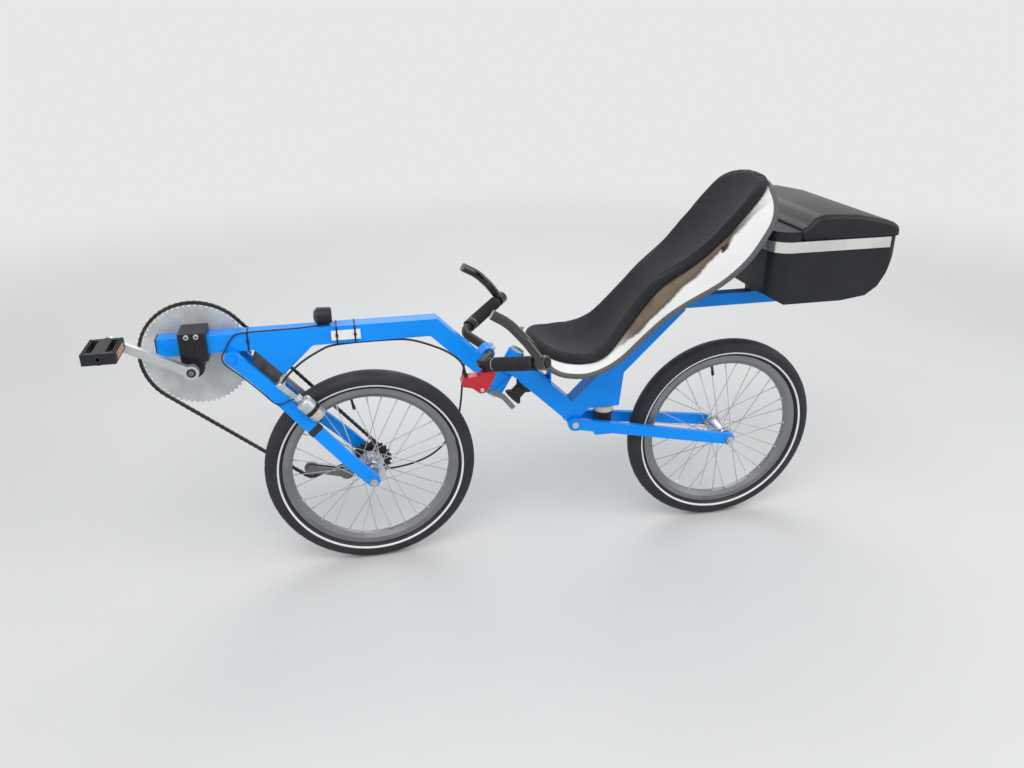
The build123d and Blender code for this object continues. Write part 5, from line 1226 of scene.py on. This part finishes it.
# %% Widths and heights along the seat
# distance along the seat, then millimetres: half width of pad and of shell, height of the middle, of the
# shell at the pad's edge above the middle, and of the rim
SHELL_ROWS = (
    (0.0, 90, 124, 0, 3, -14),
    (SEAT_NOSE, 106, 140, 0, 8, -11),
    (ARC_LOW, 128, 160, 0, 12.5, -3),
    ((ARC_LOW + ARC_END) / 2, 122, 150, -2, 10, -3),
    (ARC_END, 98, 140, -1, 11, -5.5),
    (ARC_END + 0.2 * SEAT_BACK, 80, 142, 8, 8, -9.5),
    (ARC_END + 0.31 * SEAT_BACK, 80, 153, 9, 8.5, -15),
    (ARC_END + 0.5 * SEAT_BACK, 98, 181, -6, 12, -28),
    (ARC_END + 0.65 * SEAT_BACK, 108, 190, -10, 15, -28),
    (ARC_END + 0.83 * SEAT_BACK, 108, 174, -6, 15, -19),
    (ARC_END + 0.93 * SEAT_BACK, 100, 156, -2, 12, -15),
    (SEAT_TOP, 90, 142, 0, 8, -10),
)
NOSE_ROUND = 74 * MM
TOP_ROUND = 112 * MM
ROUND_POWER = 2.6
CREST_PAST_PAD = 3.5 * MM
FLANK_SAG = 0.32
SHELL_T = 7.2 * MM
SHELL_ALONG, SHELL_ACROSS = 110, 44
SLOPE_STEP = 0.3 * MM


def row_slopes(i):
    """How fast each value of row i changes along the seat, from its two neighbours."""
    low, high = SHELL_ROWS[max(i - 1, 0)], SHELL_ROWS[min(i + 1, len(SHELL_ROWS) - 1)]
    return [(b - a) / (high[0] - low[0]) for a, b in zip(low[1:], high[1:])]


def shell_row(s):
    """The row at s, on a smooth curve through the rows of the table."""
    i = 0
    while i < len(SHELL_ROWS) - 2 and s > SHELL_ROWS[i + 1][0]:
        i += 1
    low, high = SHELL_ROWS[i], SHELL_ROWS[i + 1]
    reach = high[0] - low[0]
    t = min(max((s - low[0]) / reach, 0.0), 1.0)
    ease = t * t * (3 - 2 * t)
    into, out = reach * t * (1 - t) ** 2, reach * t * t * (t - 1)
    values = zip(low[1:], high[1:], row_slopes(i), row_slopes(i + 1))
    return [(a + (b - a) * ease + m * into + n * out) * MM for a, b, m, n in values]


def end_share(s, first, last, nose_round, top_round):
    """The share of the width that two rounded ends leave at s."""
    share = 1.0
    for distance, reach in ((s - first, nose_round), (last - s, top_round)):
        if distance < reach:
            share *= max(1 - (1 - max(distance, 0.0) / reach) ** ROUND_POWER, 0.0) ** (1 / ROUND_POWER)
    return share


def shell_edge(s):
    """The shell's half width at s."""
    return shell_row(s)[1] * end_share(s, 0.0, SEAT_TOP, NOSE_ROUND, TOP_ROUND)


def edge_slope(edge, s, first, last):
    """How fast an edge's half width changes at s."""
    return (edge(min(s + SLOPE_STEP, last)) - edge(max(s - SLOPE_STEP, first))) / (2 * SLOPE_STEP)


def shell_height(y, row):
    """The height of the shell's upper face over the middle line, at y across."""
    pad_half, shell_half, middle, rise, rim = row
    crest = pad_half + CREST_PAST_PAD
    if y < crest:
        return middle + rise * (y / crest) ** 2
    t = (y - crest) / (shell_half - crest)
    edge = middle + rise
    return edge + (rim - edge) * t - (shell_half - crest) * FLANK_SAG * t * (1 - t)


print("widest half width", round(max(row[2] for row in SHELL_ROWS)), "mm")

# %% The shell's sheet
# the outermost strip is the laminate's bare edge, so the grid has a row of its own for it
EDGE_STRIP = 9 * MM


def on_shell(s, y):
    origin, along, seat_up = seat_place(s)
    return origin + seat_up * shell_height(abs(y), shell_row(s)) + Vector((0, y, 0))


vertices = []
for i in range(SHELL_ALONG + 1):
    s = SEAT_TOP * (1 - math.cos(math.pi * i / SHELL_ALONG)) / 2
    half = max(shell_edge(s), 1 * MM)
    slope = edge_slope(shell_edge, s, 0.0, SEAT_TOP)
    lean = math.hypot(1, slope)
    inner_s = s + EDGE_STRIP * slope / lean
    inner_half = max(half - EDGE_STRIP / lean, 0.5 * MM)
    vertices.append(on_shell(s, -half))
    for k in range(SHELL_ACROSS + 1):
        vertices.append(on_shell(inner_s, inner_half * (2 * k / SHELL_ACROSS - 1)))
    vertices.append(on_shell(s, half))
across_count = SHELL_ACROSS + 3
faces = grid_faces(SHELL_ALONG + 1, across_count)
seat_shell = new_piece("laminate_shell", vertices, faces, [gel_coat, shell_back], "rear")
sheet = seat_shell.modifiers.new("thickness", "SOLIDIFY")
sheet.thickness = SHELL_T
sheet.offset = -1.0
sheet.material_offset = 1
sheet.material_offset_rim = 1
for face in seat_shell.data.polygons:
    if face.index % (across_count - 1) in (0, across_count - 2):
        face.material_index = 1
bevel(seat_shell, 1.6)
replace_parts(seat_shell, "seat_shell")
print("shell points", len(vertices), "seat length", round(SEAT_TOP, 3))

# %% [markdown]
# ## Seat pad
# The pad is a thick slab of closed foam, cut with rounded edges and laid in the shell. It follows the shell's
# own rows, with ends that are rounded more tightly. Foam swells a little between where it is held, and cloth
# under pressure does just that: we remesh the plain slab, let it push outward for a few steps with its
# underside pinned to the shell, and cap how far any point goes.

# %% Plain slab
PAD_FROM = 12 * MM
PAD_TO = SEAT_TOP + 4 * MM
PAD_NOSE_ROUND = 58 * MM
PAD_TOP_ROUND = 66 * MM
PAD_T = 20 * MM
PAD_EDGE_T = 7 * MM
PAD_EDGE_ROUND = 11 * MM
PAD_ALONG, PAD_ACROSS = 90, 30


def pad_edge(s):
    """The pad's half width at s."""
    return shell_row(s)[0] * end_share(s, PAD_FROM, PAD_TO, PAD_NOSE_ROUND, PAD_TOP_ROUND)


def make_slab():
    """Vertices and faces of the pad: an upper and a lower sheet, closed round the edge."""
    vertices, faces = [], []
    count = PAD_ACROSS + 1
    for layer in range(2):
        for i in range(PAD_ALONG + 1):
            s = PAD_FROM + (PAD_TO - PAD_FROM) * (1 - math.cos(math.pi * i / PAD_ALONG)) / 2
            half = max(pad_edge(s), 2 * MM)
            lean = math.hypot(1, edge_slope(pad_edge, s, PAD_FROM, PAD_TO))
            seat_up = seat_place(s)[2]
            for k in range(count):
                y = half * math.sin(math.pi / 2 * (2 * k / PAD_ACROSS - 1))
                inside = min((half - abs(y)) / lean / PAD_EDGE_ROUND, 1.0)
                crown = math.sqrt(1 - (1 - inside) ** 2)
                lift = PAD_EDGE_T + (PAD_T - PAD_EDGE_T) * crown if layer else 1 * MM
                vertices.append(on_shell(s, y) + seat_up * lift)
    sheet_size = (PAD_ALONG + 1) * count
    for i in range(PAD_ALONG):
        for k in range(PAD_ACROSS):
            a = i * count + k
            faces.append((a, a + 1, a + count + 1, a + count))
            faces.append(tuple(v + sheet_size for v in (a, a + count, a + count + 1, a + 1)))
    border = [(i * count, (i + 1) * count) for i in range(PAD_ALONG)]
    border += [(PAD_ALONG * count + k, PAD_ALONG * count + k + 1) for k in range(PAD_ACROSS)]
    border += [((i + 1) * count + PAD_ACROSS, i * count + PAD_ACROSS) for i in reversed(range(PAD_ALONG))]
    border += [(k + 1, k) for k in reversed(range(PAD_ACROSS))]
    for a, b in border:
        faces.append((a, b, b + sheet_size, a + sheet_size))
    return vertices, faces


vertices, faces = make_slab()
seat_pad = new_piece("foam_seat_pad", vertices, faces, [foam], "rear")
print("slab", len(vertices), "points")

# %% Swollen foam
PAD_VOXEL = 4.5 * MM
PAD_CAP = 3.0 * MM
PAD_PRESSURE = 4.0
PAD_STEPS = 14
PAD_PIN = 9 * MM


def apply_modifiers(piece):
    """Bakes a piece's modifiers into its mesh."""
    graph = bpy.context.evaluated_depsgraph_get()
    baked = bpy.data.meshes.new_from_object(piece.evaluated_get(graph))
    piece.modifiers.clear()
    piece.data = baked


def remesh(piece, voxel):
    step = piece.modifiers.new("remesh", "REMESH")
    step.mode = "VOXEL"
    step.voxel_size = voxel
    step.use_smooth_shade = True
    rounding = piece.modifiers.new("round", "SMOOTH")
    rounding.factor = 0.5
    rounding.iterations = 4
    apply_modifiers(piece)


def puff(piece, held):
    """Swells a piece under pressure, with the points of the group held in place, and caps the swelling."""
    rest = [v.co.copy() for v in piece.data.vertices]
    group = piece.vertex_groups.new(name="held")
    group.add(held, 1.0, "REPLACE")
    cloth = piece.modifiers.new("foam", "CLOTH")
    cloth.settings.use_pressure = True
    cloth.settings.uniform_pressure_force = PAD_PRESSURE
    cloth.settings.vertex_group_mass = "held"
    cloth.settings.effector_weights.gravity = 0.0
    scene = bpy.context.scene
    for step in range(1, PAD_STEPS + 1):
        scene.frame_set(step)
    apply_modifiers(piece)
    for vertex, start in zip(piece.data.vertices, rest):
        move = vertex.co - start
        if move.length > PAD_CAP:
            vertex.co = start + move.normalized() * PAD_CAP
    scene.frame_set(1)


remesh(seat_pad, PAD_VOXEL)
shell_tree = BVHTree.FromObject(seat_shell, bpy.context.evaluated_depsgraph_get())
held = [v.index for v in seat_pad.data.vertices if shell_tree.find_nearest(v.co)[3] < PAD_PIN]
print("pad points", len(seat_pad.data.vertices), "held", len(held))
puff(seat_pad, held)
dress(seat_pad, foam)
seat_pad.data.shade_smooth()
smoother = seat_pad.modifiers.new("finer", "SUBSURF")
smoother.levels = 1
smoother.render_levels = 1
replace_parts(seat_pad, "seat_pad")

# %% [markdown]
# ## Lid of the case
# A moulded lid has soft shoulders, and the light that runs along them is most of what makes it look like
# plastic. The CAD lid is sharp there. Ours is the same side outline, walked from one side of the case to the
# other and drawn in a little at both ends, which rounds the shoulders. Its hinge knuckles stand where the CAD
# hinge has them.

# %% Lid with rounded shoulders
lid_high = Vector(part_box("topcase_lid")[1])
hinge_at = joint_at["case_lid_hinge"]
LID_REAR = hinge_at.x - 12 * MM
LID_RIM = hinge_at.z + 10 * MM
LID_WALL = 3 * MM
LID_CREASE = math.radians(50)
SHOULDER = 11
LID_STEPS = 7
# millimetres forward of the rear wall and above the rim
LID_LINE = (
    (243.0, 0.0), (243.0, 21.0), (238.0, 26.0), (229.0, 30.0), (221.0, 36.0), (211.0, 47.0), (201.0, 52.5),
    (184.0, 54.0), (150.0, 53.0), (106.0, 50.0), (70.0, 42.6), (34.0, 35.0), (17.0, 29.0), (6.0, 22.0),
    (1.0, 15.0), (0.0, 8.0), (0.0, 0.0),
)


def drawn_in(line, depth):
    """The line moved inward by depth, its two ends kept at the rim."""
    moved = []
    for i, (ahead, rise) in enumerate(line):
        a, b = line[max(i - 1, 0)], line[min(i + 1, len(line) - 1)]
        run = Vector((b[0] - a[0], b[1] - a[1])).normalized()
        moved.append((ahead - run.y * depth, max(rise + run.x * depth, 0.0)))
    return moved


def make_lid():
    """Vertices and faces of the lid, open below. Its rows of (across, depth) turn round each shoulder."""
    half = lid_high.y / MM
    turns = [math.pi / 2 * step / LID_STEPS for step in range(LID_STEPS + 1)]
    rows = [(-half + SHOULDER * (1 - math.cos(turn)), SHOULDER * (1 - math.sin(turn))) for turn in turns]
    rows += [(-y, depth) for y, depth in rows[::-1]]
    vertices = []
    for y, depth in rows:
        for ahead, rise in drawn_in(LID_LINE, depth):
            vertices.append(Vector((LID_REAR - ahead * MM, y * MM, LID_RIM + rise * MM)))
    count = len(LID_LINE)
    faces = [(a, d, c, b) for a, b, c, d in grid_faces(len(rows), count)]
    faces.append(tuple(range(count))[::-1])
    faces.append(tuple(len(vertices) - count + k for k in range(count)))
    return vertices, faces


vertices, faces = make_lid()
cover = new_piece("moulded_lid", vertices, faces, [plastic], "case_lid")
fix_normals(cover)
cover.data.set_sharp_from_angle(angle=LID_CREASE)
wall = cover.modifiers.new("wall", "SOLIDIFY")
wall.thickness = LID_WALL
wall.offset = -1.0
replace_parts(cover, "topcase_lid")
lid_top = max(vertex.z for vertex in vertices)
print("lid from", round(LID_RIM, 4), "up to", round(lid_top, 4), "CAD", round(lid_high.z, 4))

# %% Seam along the base's sides, where its two moulds met
SEAM_R, SEAM_Y = 0.7, 190.0
SEAM_FRONT, SEAM_REAR = (462.0, 173.8), (692.0, 179.0)
seam_parts = []
for hand in (-1, 1):
    start, end = (mm(x, hand * SEAM_Y, z) for x, z in (SEAM_FRONT, SEAM_REAR))
    length = (end - start).length / MM
    seam_parts.append(turned([(0.0, SEAM_R), (length, SEAM_R)], start, end - start, 8))
fitting("case_seam", seam_parts, plastic, "rear")
print("seam", round(length), "mm long")

# %% Hinge knuckles of the lid
KNUCKLE = ((0.0, 6.9), (0.6, 7.5), (39.4, 7.5), (40.0, 6.9), (40.0, 4.3), (0.0, 4.3))
KNUCKLE_FROM, KNUCKLE_TO = 50, 90
# millimetres from the hinge axis: the leaf's rear and front face and its foot, the strap's underside and top
LEAF_REAR, LEAF_FRONT, LEAF_LOW, STRAP_LOW, STRAP_HIGH = 7.5, 3.4, 5.2, 14, 20
STRAP_SINK = 1
knuckles = []
for hand in (-1, 1):
    start = hinge_at.copy()
    start.y = hand * KNUCKLE_FROM * MM
    knuckles.append(turned(KNUCKLE, start, (0, hand, 0), 32, ring=True))
    y_low, y_high = sorted((hand * KNUCKLE_FROM * MM, hand * KNUCKLE_TO * MM))
    far = (hinge_at.x + LEAF_REAR * MM, y_high, hinge_at.z + STRAP_HIGH * MM)
    for near in ((hinge_at.x + LEAF_FRONT * MM, y_low, hinge_at.z + LEAF_LOW * MM),
                 (LID_REAR - STRAP_SINK * MM, y_low, hinge_at.z + STRAP_LOW * MM)):
        knuckles.append(block(near, far))
fitting("lid_hinge", knuckles, plastic, "case_lid", edge=0.5)
print("hinge at", rounded(hinge_at))

# %% [markdown]
# ## Check the size and finish
# The dressed bicycle must stay the size of the CAD one, so both boxes are written down before the
# last call, which also checks that every piece rides on a real body.

# %% Bounds
low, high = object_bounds()
print("visual box", rounded(low), rounded(high))
